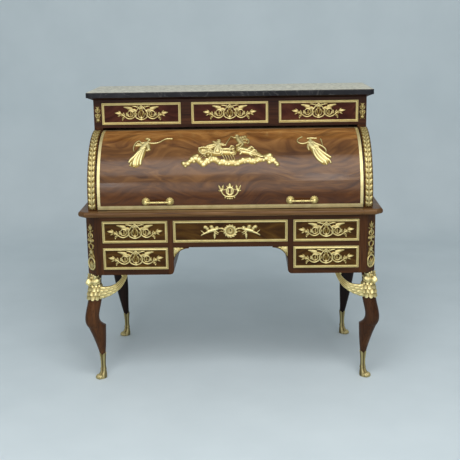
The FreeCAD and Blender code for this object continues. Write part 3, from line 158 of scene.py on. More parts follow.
def add_piece(name, piece, body, finish, stands_for, crease=50):
    """Mesh a surface in metres with faces turned outwards, give it its finish and body, and hide its CAD node."""
    points, groups, lift = piece
    loops = np.concatenate([group.ravel() for group in groups]).astype(np.int32)
    sides = np.concatenate([np.full(len(group), group.shape[1]) for group in groups])
    mesh = bpy.data.meshes.new(name)
    mesh.vertices.add(len(points))
    mesh.vertices.foreach_set("co", (points * MM).astype(np.float32).ravel())
    mesh.loops.add(len(loops))
    mesh.loops.foreach_set("vertex_index", loops)
    mesh.polygons.add(len(sides))
    mesh.polygons.foreach_set("loop_start", (np.cumsum(sides) - sides).astype(np.int32))
    mesh.polygons.foreach_set("use_smooth", np.ones(len(sides), bool))
    mesh.update(calc_edges=True)
    mesh.attributes.new("lift", "FLOAT", "POINT").data.foreach_set("value", lift.astype(np.float32))
    outward = bmesh.new()
    outward.from_mesh(mesh)
    bmesh.ops.recalc_face_normals(outward, faces=outward.faces)
    outward.to_mesh(mesh)
    outward.free()
    mesh.set_sharp_from_angle(angle=math.radians(crease))
    mesh.materials.append(finish)
    thing = bpy.data.objects.new(name, mesh)
    bpy.context.scene.collection.objects.link(thing)
    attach(thing, body)
    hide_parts(stands_for)
    print(name, len(points), "points on", body)


def add_pair(name, right, finish, stands_for, crease=50):
    """A surface on the right and its mirror image as one piece of the desk's own body."""
    add_piece(name, joined(right, mirrored(right)), "desk", finish, stands_for, crease)


# %% [markdown]
# ## Finishes
#
# A finish is a small network of nodes. Each starts from the piece's own coordinates in metres, stretches them along
# the grain, and lets noise choose the colour, the gloss and a fine bump. Numbers that are the same all over, such as
# the strength of the polish, sit on the shader itself.

# %% Finishes: helpers
EVEN = (1, 1, 1)
SHALLOW = 0.0004


class Finish:
    """A material under way: its nodes, its shader and the socket that gives the piece's own coordinates."""

    def __init__(self, name):
        """Start from the shader that a new material brings."""
        self.material = bpy.data.materials.new(name)
        self.material.use_nodes = True
        self.tree = self.material.node_tree
        self.shader = self.tree.nodes["Principled BSDF"]
        self.place = self.node("TexCoord", {}).outputs["Object"]

    def join(self, socket, value):
        """Give a socket another node's output, a number, or a colour, which also needs its opacity of one."""
        if isinstance(value, bpy.types.NodeSocket):
            self.tree.links.new(value, socket)
        else:
            socket.default_value = (*value, 1) if socket.type == "RGBA" else value

    def node(self, kind, sockets, **settings):
        """Add a node: settings are its options, and each socket takes a number or another node's output."""
        node = self.tree.nodes.new("ShaderNode" + kind)
        for key, value in settings.items():
            setattr(node, key, value)
        for key, value in sockets.items():
            self.join(node.inputs[key], value)
        return node

    def set(self, name, value):
        """Give one of the shader's own sockets its value."""
        self.join(self.shader.inputs[name], value)

    def sum(self, operation, first, second=0.0, third=0.0):
        """One sum: the operation on up to three numbers or sockets."""
        return self.node("Math", {0: first, 1: second, 2: third}, operation=operation).outputs[0]

    def vector(self, operation, first, second):
        """One sum on two vectors."""
        return self.node("VectorMath", {0: first, 1: second}, operation=operation).outputs[0]

    def split(self):
        """The piece's own coordinates, one by one."""
        return self.node("SeparateXYZ", {0: self.place}).outputs

    def span(self, value, start, stop, low=0.0, high=1.0):
        """Carry a value from the range between start and stop over to the range between low and high."""
        return self.node("MapRange", {0: value, 1: start, 2: stop, 3: low, 4: high}).outputs[0]

    def noise(self, place, stretch, scale, detail=3, warp=0):
        """Noise on coordinates multiplied by a stretch: a small factor along the grain makes long streaks."""
        moved = self.node("Mapping", {"Vector": place, "Scale": stretch}).outputs[0]
        return self.node("TexNoise", {"Vector": moved, "Scale": scale, "Detail": detail,
                                      "Distortion": warp}).outputs[0]

    def shades(self, factor, *stops):
        """A run of colours: each stop is a place between 0 and 1 and the colour there."""
        ramp = self.node("ValToRGB", {"Fac": factor})
        while len(ramp.color_ramp.elements) < len(stops):
            ramp.color_ramp.elements.new(0.5)
        for element, (at, colour) in zip(ramp.color_ramp.elements, stops):
            element.position = at
            element.color = (*colour, 1)
        return ramp.outputs[0]

    def mix(self, factor, first, second, way="MIX"):
        """Mix two colours by a factor, or multiply the first by the second."""
        return self.node("Mix", {0: factor, 6: first, 7: second}, data_type="RGBA", blend_type=way).outputs[2]

    def finished(self, colour, gloss, bump, polish=None):
        """Set what every finish needs, and hand over the material.

        Gloss is a factor and the roughness at its 0 and 1. Bump is a height, a strength and a depth in metres. Polish
        is the weight and roughness of a clear coat, and how strongly the surface under it mirrors the room.
        """
        factor, rough, smooth = gloss
        height, strength, depth = bump
        self.set("Base Color", colour)
        self.set("Roughness", self.span(factor, 0, 1, rough, smooth))
        self.set("Normal", self.node("Bump", {"Strength": strength, "Distance": depth, "Height": height}).outputs[0])
        if polish:
            for name, value in zip(("Coat Weight", "Coat Roughness", "Specular IOR Level"), polish):
                self.set(name, value)
        return self.material


# %% [markdown]
# ## Mahogany
#
# The carcase is dark polished mahogany. Its grain is long brown streaks with fine dark pores, so one broad noise gives
# the streaks and one very stretched noise the pores. The grain follows the board, level in rails and upright in posts
# and legs, so the same recipe is used in three directions. Other tones carry painted light and shade: darker for
# painted shade on the cornice and frieze and on the rear legs under the case, lighter for a painted reflection and
# highlight on the polished ledge.

# %% Mahogany
BROWN = (0.022, 0.007, 0.002), (0.062, 0.021, 0.005), (0.130, 0.050, 0.014)
# Frieze tones: darker than the carcase, painted shade.
FRIEZE_PAINTED_SHADE = (0.014, 0.004, 0.002), (0.040, 0.013, 0.005), (0.085, 0.030, 0.012)
# Cornice tones: darker, painted shade under the marble's overhang.
CORNICE_PAINTED_SHADE = (0.009, 0.004, 0.003), (0.024, 0.009, 0.006), (0.048, 0.019, 0.012)
# Rear leg tones: near black, painted shade under the case.
REAR_LEG_PAINTED_SHADE = (0.004, 0.001, 0.001), (0.012, 0.004, 0.002), (0.024, 0.008, 0.005)
# Ledge tones: lighter, a painted reflection and highlight on the polished ledge.
LEDGE_PAINTED_SHEEN = (0.07, 0.030, 0.010), (0.15, 0.074, 0.026), (0.26, 0.14, 0.055)
GRAIN_STOPS = (0.25, 0.5, 0.78)


def mahogany(name, along, tones, coat=0.1):
    """Streaks from noise stretched fourteen times along the grain, darkened where the pore noise is low."""
    wood = Finish(name)
    broad, fine = ([least if axis == along else most for axis in "xyz"] for least, most in ((1, 14), (5, 210)))
    streaks = wood.noise(wood.place, broad, 1.7, 5, 0.8)
    pores = wood.noise(wood.place, fine, 1.6, 2)
    dark = wood.shades(pores, (0.34, (0.45, 0.42, 0.42)), (0.5, (1, 1, 1)))
    colour = wood.mix(0.85, wood.shades(streaks, *zip(GRAIN_STOPS, tones)), dark, "MULTIPLY")
    return wood.finished(colour, (pores, 0.42, 0.30), (pores, 0.12, SHALLOW), (coat, 0.12, 0.1))


mahogany_level = mahogany("mahogany_level", "x", BROWN)
mahogany_deep = mahogany("mahogany_deep", "y", BROWN)
mahogany_upright = mahogany("mahogany_upright", "z", BROWN)
mahogany_leg = mahogany("mahogany_leg", "z", BROWN, 0.2)
# Rear legs: painted shade under the case.
mahogany_rear_leg_painted_shade = mahogany("mahogany_rear_leg_painted_shade", "z", REAR_LEG_PAINTED_SHADE, 0.12)
# Cornice: painted shade under the marble.
mahogany_cornice_painted_shade = mahogany("mahogany_cornice_painted_shade", "x", CORNICE_PAINTED_SHADE)
# Frieze: painted shade.
mahogany_frieze_painted_shade = mahogany("mahogany_frieze_painted_shade", "x", FRIEZE_PAINTED_SHADE)
# Ledge and writing slide: painted reflection and highlight.
mahogany_ledge_painted_sheen = mahogany("mahogany_ledge_painted_sheen", "x", LEDGE_PAINTED_SHEEN)
print("mahogany in three directions, glossier for the front legs, and in four other tones")

# %% [markdown]
# ## Flame veneer
#
# The roll front and the drawer fronts wear thin sheets cut where a branch leaves the trunk, so their figure sweeps in
# flames. On the roll front the sheet is bent round, so the pattern is drawn on the unrolled sheet: across, and along
# the arc, which is the angle about the hinge times the radius. Behind the thin sheet the wood is plain.

# %% Flame veneer
HINGE_Y, HINGE_Z, ROLL_RADIUS = -48.0, 830.0, 260.0
BASE_FRONT, UPPER_FRONT, FRONT_THICKNESS = -324, -48, 14


def roll_angle(finish):
    """The angle about the hinge, counted up from level, and the coordinate along the hinge."""
    place = finish.split()
    out = finish.sum("SUBTRACT", HINGE_Y * MM, place["Y"])
    rise = finish.sum("SUBTRACT", place["Z"], HINGE_Z * MM)
    return finish.sum("ARCTAN2", rise, out), place["X"]


def flames(wood, sheet, dark, middle, light):
    """Noise bent by a second, slower noise: streaks that run level, then sweep up in plumes."""
    slow = wood.node("TexNoise", {"Vector": sheet, "Scale": 2.6, "Detail": 1.5}).outputs[1]
    sway = wood.vector("MULTIPLY", wood.vector("SUBTRACT", slow, (0.5, 0.5, 0.5)), (0.25, 0.42, 0.2))
    bent = wood.vector("ADD", sheet, sway)
    plume = wood.noise(bent, (3.2, 17, 17), 1.8, 4, 1.2)
    pores = wood.noise(bent, (26, 330, 330), 1.5, 2)
    return wood.shades(plume, (0.28, dark), (0.5, middle), (0.72, light)), pores, plume


def rolled_veneer():
    """Sheet coordinates are x and the arc; orange streaks and painted light at the top, painted shade at the foot."""
    wood = Finish("flame_veneer_roll")
    angle, x = roll_angle(wood)
    sheet = wood.node("CombineXYZ", {0: x, 1: wood.sum("MULTIPLY", angle, ROLL_RADIUS * MM)}).outputs[0]
    brown, pores, plume = flames(wood, sheet, (0.052, 0.018, 0.005), (0.112, 0.045, 0.011), (0.19, 0.083, 0.022))
    amber_and_painted_light, _, _ = flames(wood, sheet, (0.115, 0.036, 0.008), (0.30, 0.125, 0.030), (0.50, 0.245, 0.070))
    # Towards the top: the figure's orange streaks, lit up as painted light where the roll faces up.
    colour = wood.mix(wood.span(angle, 0.85, 1.35), brown, amber_and_painted_light)
    # Towards the foot: colour painted darker as painted shade.
    foot = wood.shades(plume, (0.3, (0.038, 0.010, 0.002)), (0.7, (0.108, 0.035, 0.006)))
    colour = wood.mix(wood.span(angle, 0.30, 0.02), colour, foot)
    return wood.finished(colour, (pores, 0.40, 0.28), (pores, 0.10, SHALLOW), (0.3, 0.16, 0.16))


def front_veneer(name, front, dark, middle, light):
    """Veneer on the front's outer skin, plain oak for the boards behind it, told apart by depth."""
    wood = Finish(name)
    place = wood.split()
    sheet = wood.node("CombineXYZ", {0: place["X"], 1: place["Z"]}).outputs[0]
    face, pores, _ = flames(wood, sheet, dark, middle, light)
    boards = wood.shades(wood.noise(wood.place, (14, 1.2, 14), 2.2, 5, 0.6),
                         (0.3, (0.20, 0.125, 0.065)), (0.7, (0.36, 0.25, 0.14)))
    behind = wood.sum("GREATER_THAN", place["Y"], (front + FRONT_THICKNESS) * MM)
    colour = wood.mix(behind, face, boards)
    return wood.finished(colour, (pores, 0.42, 0.30), (pores, 0.10, SHALLOW), (0.06, 0.12, 0.07))


veneer_roll = rolled_veneer()
veneer_base = front_veneer("flame_veneer_base", BASE_FRONT, (0.018, 0.006, 0.001), (0.050, 0.020, 0.003),
                           (0.098, 0.046, 0.007))
veneer_top = front_veneer("flame_veneer_top", UPPER_FRONT, (0.024, 0.005, 0.003), (0.052, 0.013, 0.007),
                          (0.095, 0.030, 0.015))
print("flame veneer for the roll front, the base drawers and the upper drawers")

# %% [markdown]
# ## Gilt bronze
#
# The mounts are cast bronze under mercury gilding: bright and burnished where they stand out, dull and browner in the
# hollows, partly from the matt gilding and partly as painted shade. The lift that each piece carries tells the two
# apart, and fine noise stands for the chaser's punch marks.

# %% Gilt bronze and the other metals
TOP_BEAD_DEGREES = 90.3
# Dark brown over the trim's top bead: painted shade under the upper case.
TOP_BEAD_PAINTED_SHADE = (0.13, 0.09, 0.05)


def gilding(name, hollow, crest, shine, from_lift=True, painted_shade_beyond=None):
    """Colour and gloss run from hollow to crest with the lift, disturbed a little by cloudy noise. The darker hollows
    are partly matt gilding and partly painted shade.

    CAD nodes have no lift, so there the clouds stand in for it. Beyond an angle about the hinge the colour turns dark
    brown, painted shade under the upper case.
    """
    metal = Finish(name)
    stipple = metal.noise(metal.place, EVEN, 420, 2)
    cloud = metal.noise(metal.place, EVEN, 34, 3)
    if from_lift:
        lift = metal.node("Attribute", {}, attribute_name="lift").outputs["Fac"]
    else:
        lift = metal.sum("ADD", cloud, 0.15)
    # Lift and cloudy wear: gloss, and colour with painted shade in the hollows.
    wear_and_painted_shade = metal.sum("ADD", lift, metal.sum("MULTIPLY_ADD", cloud, 0.35, -0.17))
    middle = tuple((a + b) / 2 for a, b in zip(hollow, crest))
    colour = metal.shades(wear_and_painted_shade, (0.12, hollow), (0.5, middle), (0.9, crest))
    # Past the top bead, painted shade: the trim turns dark brown.
    if painted_shade_beyond is not None:
        beyond = metal.sum("GREATER_THAN", roll_angle(metal)[0], math.radians(painted_shade_beyond))
        colour = metal.mix(beyond, colour, TOP_BEAD_PAINTED_SHADE)
    metal.set("Metallic", 1.0)
    return metal.finished(colour, (wear_and_painted_shade, *shine), (stipple, 0.22, 0.0003))


PLAIN_GILDING = (0.62, 0.52, 0.25), (0.86, 0.75, 0.41), (0.64, 0.54), False
gilt_cast = gilding("gilt_cast", (0.20, 0.135, 0.036), (0.80, 0.66, 0.28), (0.62, 0.44))
gilt_paws = gilding("gilt_paws", (0.15, 0.11, 0.04), (0.55, 0.46, 0.22), (0.6, 0.46))
gilt_figures = gilding("gilt_figures", (0.28, 0.19, 0.05), (0.92, 0.80, 0.40), (0.62, 0.46))
gilt_plain = gilding("gilt_plain", *PLAIN_GILDING)
# The roll's trim, painted dark brown past its top bead as painted shade.
gilt_trim = gilding("gilt_trim", *PLAIN_GILDING, TOP_BEAD_DEGREES)
lock_brass = gilding("lock_brass", (0.34, 0.24, 0.10), (0.66, 0.50, 0.24), (0.5, 0.34), False)
black_iron = gilding("black_iron", (0.05, 0.048, 0.046), (0.16, 0.155, 0.15), (0.62, 0.44), False)
turned_steel = gilding("turned_steel", (0.36, 0.36, 0.37), (0.56, 0.56, 0.57), (0.4, 0.26), False)
print("gilding, brass, iron and steel")

# %% [markdown]
# ## Marble, leather and oak
#
# The top is a dark grey marble with thin pale veins: noise gives the clouds, and the narrow line where a second noise
# passes one half gives the veins. Its upper face is painted pale and flecked: a painted reflection of the pale room.
# The writing slide is green leather with gilt fillets tooled near its edge, which are simply bands of distance from
# the leather's own outline.

# %% Marble, leather and oak
FILLETS = (0.012, 0.0155), (0.019, 0.0202)


def marble():
    """Clouds of dark grey; a vein lies where a bent noise is close to one half; top faces get a painted reflection."""
    stone = Finish("dark_marble")
    cloud = stone.noise(stone.place, EVEN, 7, 6, 0.6)
    bent = stone.noise(stone.place, (1, 1.6, 1), 4.2, 5, 2.2)
    away = stone.sum("ABSOLUTE", stone.sum("SUBTRACT", bent, 0.5))
    vein = stone.span(away, 0.008, 0, 0, 0.22)
    base = stone.shades(cloud, (0.3, (0.006, 0.006, 0.008)), (0.55, (0.016, 0.016, 0.019)),
                        (0.75, (0.036, 0.036, 0.039)))
    base = stone.mix(vein, base, (0.26, 0.25, 0.23))
    facing = stone.node("SeparateXYZ", {0: stone.node("NewGeometry", {}).outputs["Normal"]}).outputs["Z"]
    # Upward faces: pale flecked colour, a painted reflection of the pale room.
    flecks = stone.noise(stone.place, (1, 1.4, 1), 46, 4, 0.8)
    painted_reflection = stone.shades(flecks, (0.36, (0.32, 0.30, 0.225)), (0.5, (0.58, 0.55, 0.42)), (0.66, (0.78, 0.75, 0.58)))
    colour = stone.mix(stone.span(facing, 0.8, 0.98), base, painted_reflection)
    return stone.finished(colour, (cloud, 0.26, 0.36), (cloud, 0.02, SHALLOW), (0.06, 0.12, 0.12))


def leather():
    """Green hide with a pebbled grain, and gilt lines where the distance from the edge is that of a fillet."""
    low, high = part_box("slide_leather")
    hide = Finish("green_leather")
    place = hide.split()
    gaps = []
    for axis, a, b in (("X", low.x, high.x), ("Y", low.y, high.y)):
        off = hide.sum("ABSOLUTE", hide.sum("SUBTRACT", place[axis], (a + b) / 2))
        gaps.append(hide.sum("SUBTRACT", (b - a) / 2, off))
    edge = hide.sum("MINIMUM", *gaps)
    lines = hide.sum("MAXIMUM", *(hide.sum("MULTIPLY", hide.sum("GREATER_THAN", edge, start),
                                           hide.sum("LESS_THAN", edge, stop)) for start, stop in FILLETS))
    grain = hide.node("TexVoronoi", {"Vector": hide.place, "Scale": 620}).outputs["Distance"]
    tone = hide.noise(hide.place, EVEN, 9, 4)
    green = hide.shades(tone, (0.3, (0.022, 0.060, 0.034)), (0.7, (0.050, 0.115, 0.064)))
    hide.set("Metallic", hide.sum("MULTIPLY", lines, 0.9))
    colour = hide.mix(lines, green, (0.62, 0.45, 0.17))
    return hide.finished(colour, (grain, 0.42, 0.58), (grain, 0.25, SHALLOW))


def oak():
    """Pale brown streaks for the boards that nobody is meant to see."""
    wood = Finish("oak")
    streaks = wood.noise(wood.place, (12, 12, 1), 2.4, 6, 0.7)
    colour = wood.shades(streaks, (0.3, (0.17, 0.105, 0.055)), (0.7, (0.32, 0.22, 0.12)))
    return wood.finished(colour, (streaks, 0.7, 0.5), (streaks, 0.15, SHALLOW))


dark_marble, green_leather, plain_oak = marble(), leather(), oak()
print("marble, leather and oak")

# %% [markdown]
# ## Which board gets which finish
#
# The CAD boards keep their meshes. Each only swaps its material, and the grain runs the way the board was sawn: along
# the rails, up the posts and legs, and front to back on the sides.

# %% Dress the boards
FINISH_BY_SLOT = {"mahogany": mahogany_level, "flame_veneer": veneer_base, "oak": plain_oak,
                  "gilt_bronze": gilt_plain, "lock_brass": lock_brass, "iron": black_iron, "steel": turned_steel,
                  "dark_marble": dark_marble, "green_leather": green_leather}
OTHER_FINISHES = ((veneer_roll, "cylinder_panel"), (gilt_trim, "cylinder_trim"), (mahogany_cornice_painted_shade, "cornice"),
                  (mahogany_frieze_painted_shade, "upper_case"), (mahogany_ledge_painted_sheen, "ledge slide_board"),
                  (mahogany_upright, "corner_posts partitions"), (mahogany_rear_leg_painted_shade, "rear_legs"),
                  (mahogany_leg, "front_leg_left front_leg_right"), (mahogany_deep, "case_sides side_left side_right"),
                  (veneer_top, "drawer_top_left drawer_top_centre drawer_top_right"),
                  (mahogany_level, "nest_drawer_left nest_drawer_centre nest_drawer_right"))
FINISH_BY_NODE = {node: finish for finish, nodes in OTHER_FINISHES for node in nodes.split()}
for part in frame["record"]["subparts"]:
    thing = frame["nodes"][part["node"]]
    thing.data.materials.clear()
    thing.data.materials.append(FINISH_BY_NODE.get(part["node"], FINISH_BY_SLOT[part["material_slot"]]))
print(len(frame["nodes"]), "CAD nodes dressed")

# %% [markdown]
# ## Casting in relief
#
# Most mounts are shallow castings: a picture made of heights. A motif is a list of small height functions, such as a
# boss, a rib or a leaf, and the casting's height is the greatest of them at each point of a fine grid. Only cells that
# rise above the wood are kept. Points just outside slide onto the outline, so the edge is smooth and not a staircase,
# and walls go down from it into the wood.

# %% Casting in relief: small shapes
NOWHERE = -9.0


def along_and_across(u, v, x, y, degrees):
    """Distances of points along and across a direction, counted from the place x, y."""
    c, s = math.cos(math.radians(degrees)), math.sin(math.radians(degrees))
    return (u - x) * c + (v - y) * s, (v - y) * c - (u - x) * s


def boss(x, y, across, up, high, degrees=0):
    """A rounded boss: its height times one less the squared distance, counted in radii along its two axes."""
    def height(u, v):
        a, b = along_and_across(u, v, x, y, degrees)
        return high * (1 - (a / across) ** 2 - (b / up) ** 2)
    return height


def hoop(x, y, across, up, half, high):
    """An oval ring: its height times one less the squared distance from the oval, counted in half widths."""
    def height(u, v):
        away = (np.hypot((u - x) / across, (v - y) / up) - 1) * min(across, up)
        return high * (1 - (away / half) ** 2)
    return height


def smooth_path(points, steps=7):
    """A curve through points: each span is a cubic whose slopes come from the points on either side."""
    p = np.asarray(points, float)
    p = np.vstack([2 * p[0] - p[1], p, 2 * p[-1] - p[-2]])
    t = np.linspace(0, 1, steps, endpoint=False)[:, None, None]
    a, b, c, d = p[:-3], p[1:-2], p[2:-1], p[3:]
    spans = 0.5 * (2 * b + (c - a) * t + (2 * a - 5 * b + 4 * c - d) * t ** 2 + (3 * b - a - 3 * c + d) * t ** 3)
    return np.vstack([spans.transpose(1, 0, 2).reshape(-1, p.shape[1]), p[-2]])


def rib(points, widths, high):
    """A tapering rib: its height times one less the squared distance from a smooth curve, in half widths there."""
    path = smooth_path(points)
    half = np.interp(np.linspace(0, 1, len(path)), np.linspace(0, 1, len(widths)), widths)

    def height(u, v):
        best = np.full(u.shape, NOWHERE)
        for (x0, y0), (x1, y1), w0, w1 in zip(path[:-1], path[1:], half[:-1], half[1:]):
            room = 2.5 * max(w0, w1)
            near = ((u > min(x0, x1) - room) & (u < max(x0, x1) + room)
                    & (v > min(y0, y1) - room) & (v < max(y0, y1) + room))
            du, dv = u[near] - x0, v[near] - y0
            dx, dy = x1 - x0, y1 - y0
            t = np.clip((du * dx + dv * dy) / (dx * dx + dy * dy + 1e-9), 0, 1)
            away = np.hypot(du - t * dx, dv - t * dy) / (w0 + t * (w1 - w0))
            best[near] = np.maximum(best[near], high * (1 - away ** 2))
        return best
    return height


def leaf(x, y, degrees, length, half, high, lobes=0):
    """A leaf: half width is a sine of the way along, waved by lobes, and a narrow hollow runs down its middle."""
    def height(u, v):
        along, across = along_and_across(u, v, x, y, degrees)
        along = along / length
        way = np.clip(along, 0.001, 0.999)
        belly = half * np.sin(math.pi * way ** 0.8) * (1 + 0.25 * np.cos(2 * math.pi * lobes * way) * (lobes > 0))
        ratio = across / (belly + 0.02)
        crown = high * (1 - ratio ** 2) - 0.4 * high * np.exp(-(across / (0.2 * half)) ** 2) * (ratio ** 2 < 1)
        return np.where((along > 0) & (along < 1), np.maximum(crown, NOWHERE), NOWHERE)
    return height


def fan(x, y, degrees, spread, count, length, half, high):
    """Leaves that share a root and open like a fan, the outer ones shorter."""
    return [leaf(x, y, degrees + spread * s, length * (1 - 0.22 * s * s), half, high)
            for s in np.linspace(-1, 1, count)]


def rosette(x, y, radius, petals, high):
    """A flower: the rim swings in and out with the angle, and each petal is hollowed along its sides."""
    def height(u, v):
        turn = np.arctan2(v - y, u - x)
        away = np.hypot(u - x, v - y) / (radius * (0.86 + 0.14 * np.cos(petals * turn)))
        petal = high * (1 - away ** 2) * (0.62 + 0.38 * np.abs(np.cos(petals * turn / 2)))
        return np.maximum(np.maximum(petal, NOWHERE), high * 1.15 * (1 - (away / 0.3) ** 2))
    return height


def coil(x, y, radius, rounds, start, hand=1):
    """Points of a spiral that winds inwards from a radius to 0.28 of it."""
    t = np.linspace(0, 1, 4 + int(6 * rounds))
    angle = math.radians(start) + hand * t * rounds * 2 * math.pi
    reach = radius * (1 - 0.72 * t)
    return np.stack([x + reach * np.cos(angle), y + reach * np.sin(angle)], axis=-1)


def cast(centre, half=(), holes=()):
    """A motif: the greatest of its heights, the half's taken on both sides of the middle, and holes pushed through."""
    def shape(u, v):
        aside = np.abs(u)
        tall = np.maximum.reduce([part(u, v) for part in centre] + [part(aside, v) for part in half])
        return np.minimum.reduce([tall] + [-hole(u, v) for hole in holes])
    return shape


# %% Casting in relief: from heights to a solid casting
EDGE, SUNK = 0.3, 0.6
# Heights between which gilding goes from dull, with painted shade, to bright.
DULL_AND_SHADED_UNDER, BRIGHT_OVER = 0.8, 5.4


def relief(shape, half_width, half_height, place, step=1.15):
    """Heights on a grid become a closed casting: a front, a back sunk in the wood, and walls round every outline."""
    u, v = np.meshgrid(np.arange(-half_width, half_width + step, step),
                       np.arange(-half_height, half_height + step, step))
    tall = np.maximum(shape(u, v), -4)
    keep = np.maximum.reduce([tall[:-1, :-1], tall[:-1, 1:], tall[1:, :-1], tall[1:, 1:]]) > 0
    for _ in range(2):
        keep[:-1, 1:] |= keep[:-1, :-1] & keep[1:, 1:] & ~keep[:-1, 1:] & ~keep[1:, :-1]
        keep[:-1, :-1] |= keep[:-1, 1:] & keep[1:, :-1] & ~keep[:-1, :-1] & ~keep[1:, 1:]
    slope_v, slope_u = np.gradient(tall, step)
    steep = slope_u ** 2 + slope_v ** 2 + 1e-6
    slide = np.where(tall < 0, -tall / steep, 0)
    u = u + np.clip(slide * slope_u, -0.8 * step, 0.8 * step)
    v = v + np.clip(slide * slope_v, -0.8 * step, 0.8 * step)
    grid = cells(*tall.shape)
    front = grid[keep]
    faces = [front, front[:, ::-1] + tall.size]
    ring = np.pad(keep, 1)
    for down, right, a, b in ((-1, 0, 0, 1), (0, 1, 1, 2), (1, 0, 2, 3), (0, -1, 3, 0)):
        beside = ring[1 + down:ring.shape[0] - 1 + down, 1 + right:ring.shape[1] - 1 + right]
        rim = grid[keep & ~beside]
        faces.append(np.stack([rim[:, b], rim[:, a], rim[:, a] + tall.size, rim[:, b] + tall.size], axis=-1))
    top = np.maximum(tall, EDGE)
    points = np.concatenate([place(u, v, top).reshape(-1, 3), place(u, v, np.full(u.shape, -SUNK)).reshape(-1, 3)])
    # Lift: dull and darker in the hollows, partly matt gilding and partly painted shade.
    bright = np.clip((top - DULL_AND_SHADED_UNDER) / (BRIGHT_OVER - DULL_AND_SHADED_UNDER), 0, 1)
    lift = np.concatenate([bright.ravel(), np.zeros(u.size)])
    faces = np.concatenate(faces)
    used = np.unique(faces)
    renumber = np.zeros(len(points), int)
    renumber[used] = np.arange(len(used))
    return points[used], [renumber[faces]], lift[used]


def on_front(x, front, z):
    """A place on an upright front: u goes right, v up and the height towards the viewer."""
    return lambda u, v, h: np.stack([x + u, front - h, z + v], axis=-1)


def on_roll(x, degrees, radius=ROLL_RADIUS):
    """A place on the roll front: v goes round the hinge, as an angle of v over the radius."""
    def place(u, v, h):
        angle = math.radians(degrees) + v / radius
        return np.stack([x + u, HINGE_Y - (radius + h) * np.cos(angle), HINGE_Z + (radius + h) * np.sin(angle)],
                        axis=-1)
    return place


def on_cant(x, y, z):
    """A place on a corner post's canted face, which looks out at 45 degrees to the right."""
    share = math.sqrt(0.5)
    return lambda u, v, h: np.stack([x + (u + h) * share, y + (u - h) * share, z + v], axis=-1)


# %% [markdown]
# ## Drawer bronzes
#
# Every drawer has a gilt frame with a raised bead, mitred at its corners, and a pierced mount of winged scrolls round
# a keyhole. The frame is one moulded profile carried round a rectangle: at every point of the profile the rectangle
# shrinks by the same distance. The lock is a riveted plate on the inside of the front.

# %% Drawer frames and locks
FRAME_PROFILE = np.array([(0, -0.4), (0, 1.9), (0.7, 2.6), (2.4, 2.6), (3.0, 1.7), (4.0, 1.5), (4.8, 2.1),
                          (5.6, 3.7), (6.8, 4.5), (8.0, 4.4), (8.9, 3.4), (9.3, 1.8), (10.2, 1.5), (11, 1.3),
                          (11, -0.4)])
PLATE_X, PLATE_Z = 32, 22
LOCK_X, LOCK_Z = 20, 13


def moulded_frame(low, high, front):
    """Carry the profile round a rectangle: its first number moves each corner inwards, its second lifts it."""
    inward, rise = FRAME_PROFILE.T
    corners = ((low[0], 1, low[1], 1), (high[0], -1, low[1], 1), (high[0], -1, high[1], -1), (low[0], 1, high[1], -1))
    grid = np.stack([np.stack([x + x_way * inward, front - rise, z + z_way * inward], axis=-1)
                     for x, x_way, z, z_way in corners], axis=1)
    return surface(grid, round_rows=True, lift=np.repeat(np.clip(rise / 4.5, 0.25, 1), 4))


def lock_plate(x, back, top):
    """A plate 64 by 44 mm with a raised case, four rivets and a key pin, looking into the drawer."""
    def shape(u, v):
        plate = 2.0 * np.minimum(PLATE_X - np.abs(u), PLATE_Z - np.abs(v)).clip(-1, 1)
        case = 10.0 - 0.9 * np.maximum(np.abs(u) - LOCK_X, np.abs(v) - LOCK_Z).clip(0) ** 2
        rivets = boss(26, 16, 2.6, 2.6, 3.4)(np.abs(u), np.abs(v))
        pin = boss(0, -3, 3.2, 3.2, 11)(u, v)
        return np.where(plate > 0, np.maximum.reduce([plate, case, rivets, pin]), plate)
    return relief(shape, PLATE_X + 1, PLATE_Z + 1,
                  lambda u, v, h: np.stack([x + u, back + h, top - PLATE_Z + v], axis=-1), step=2.0)


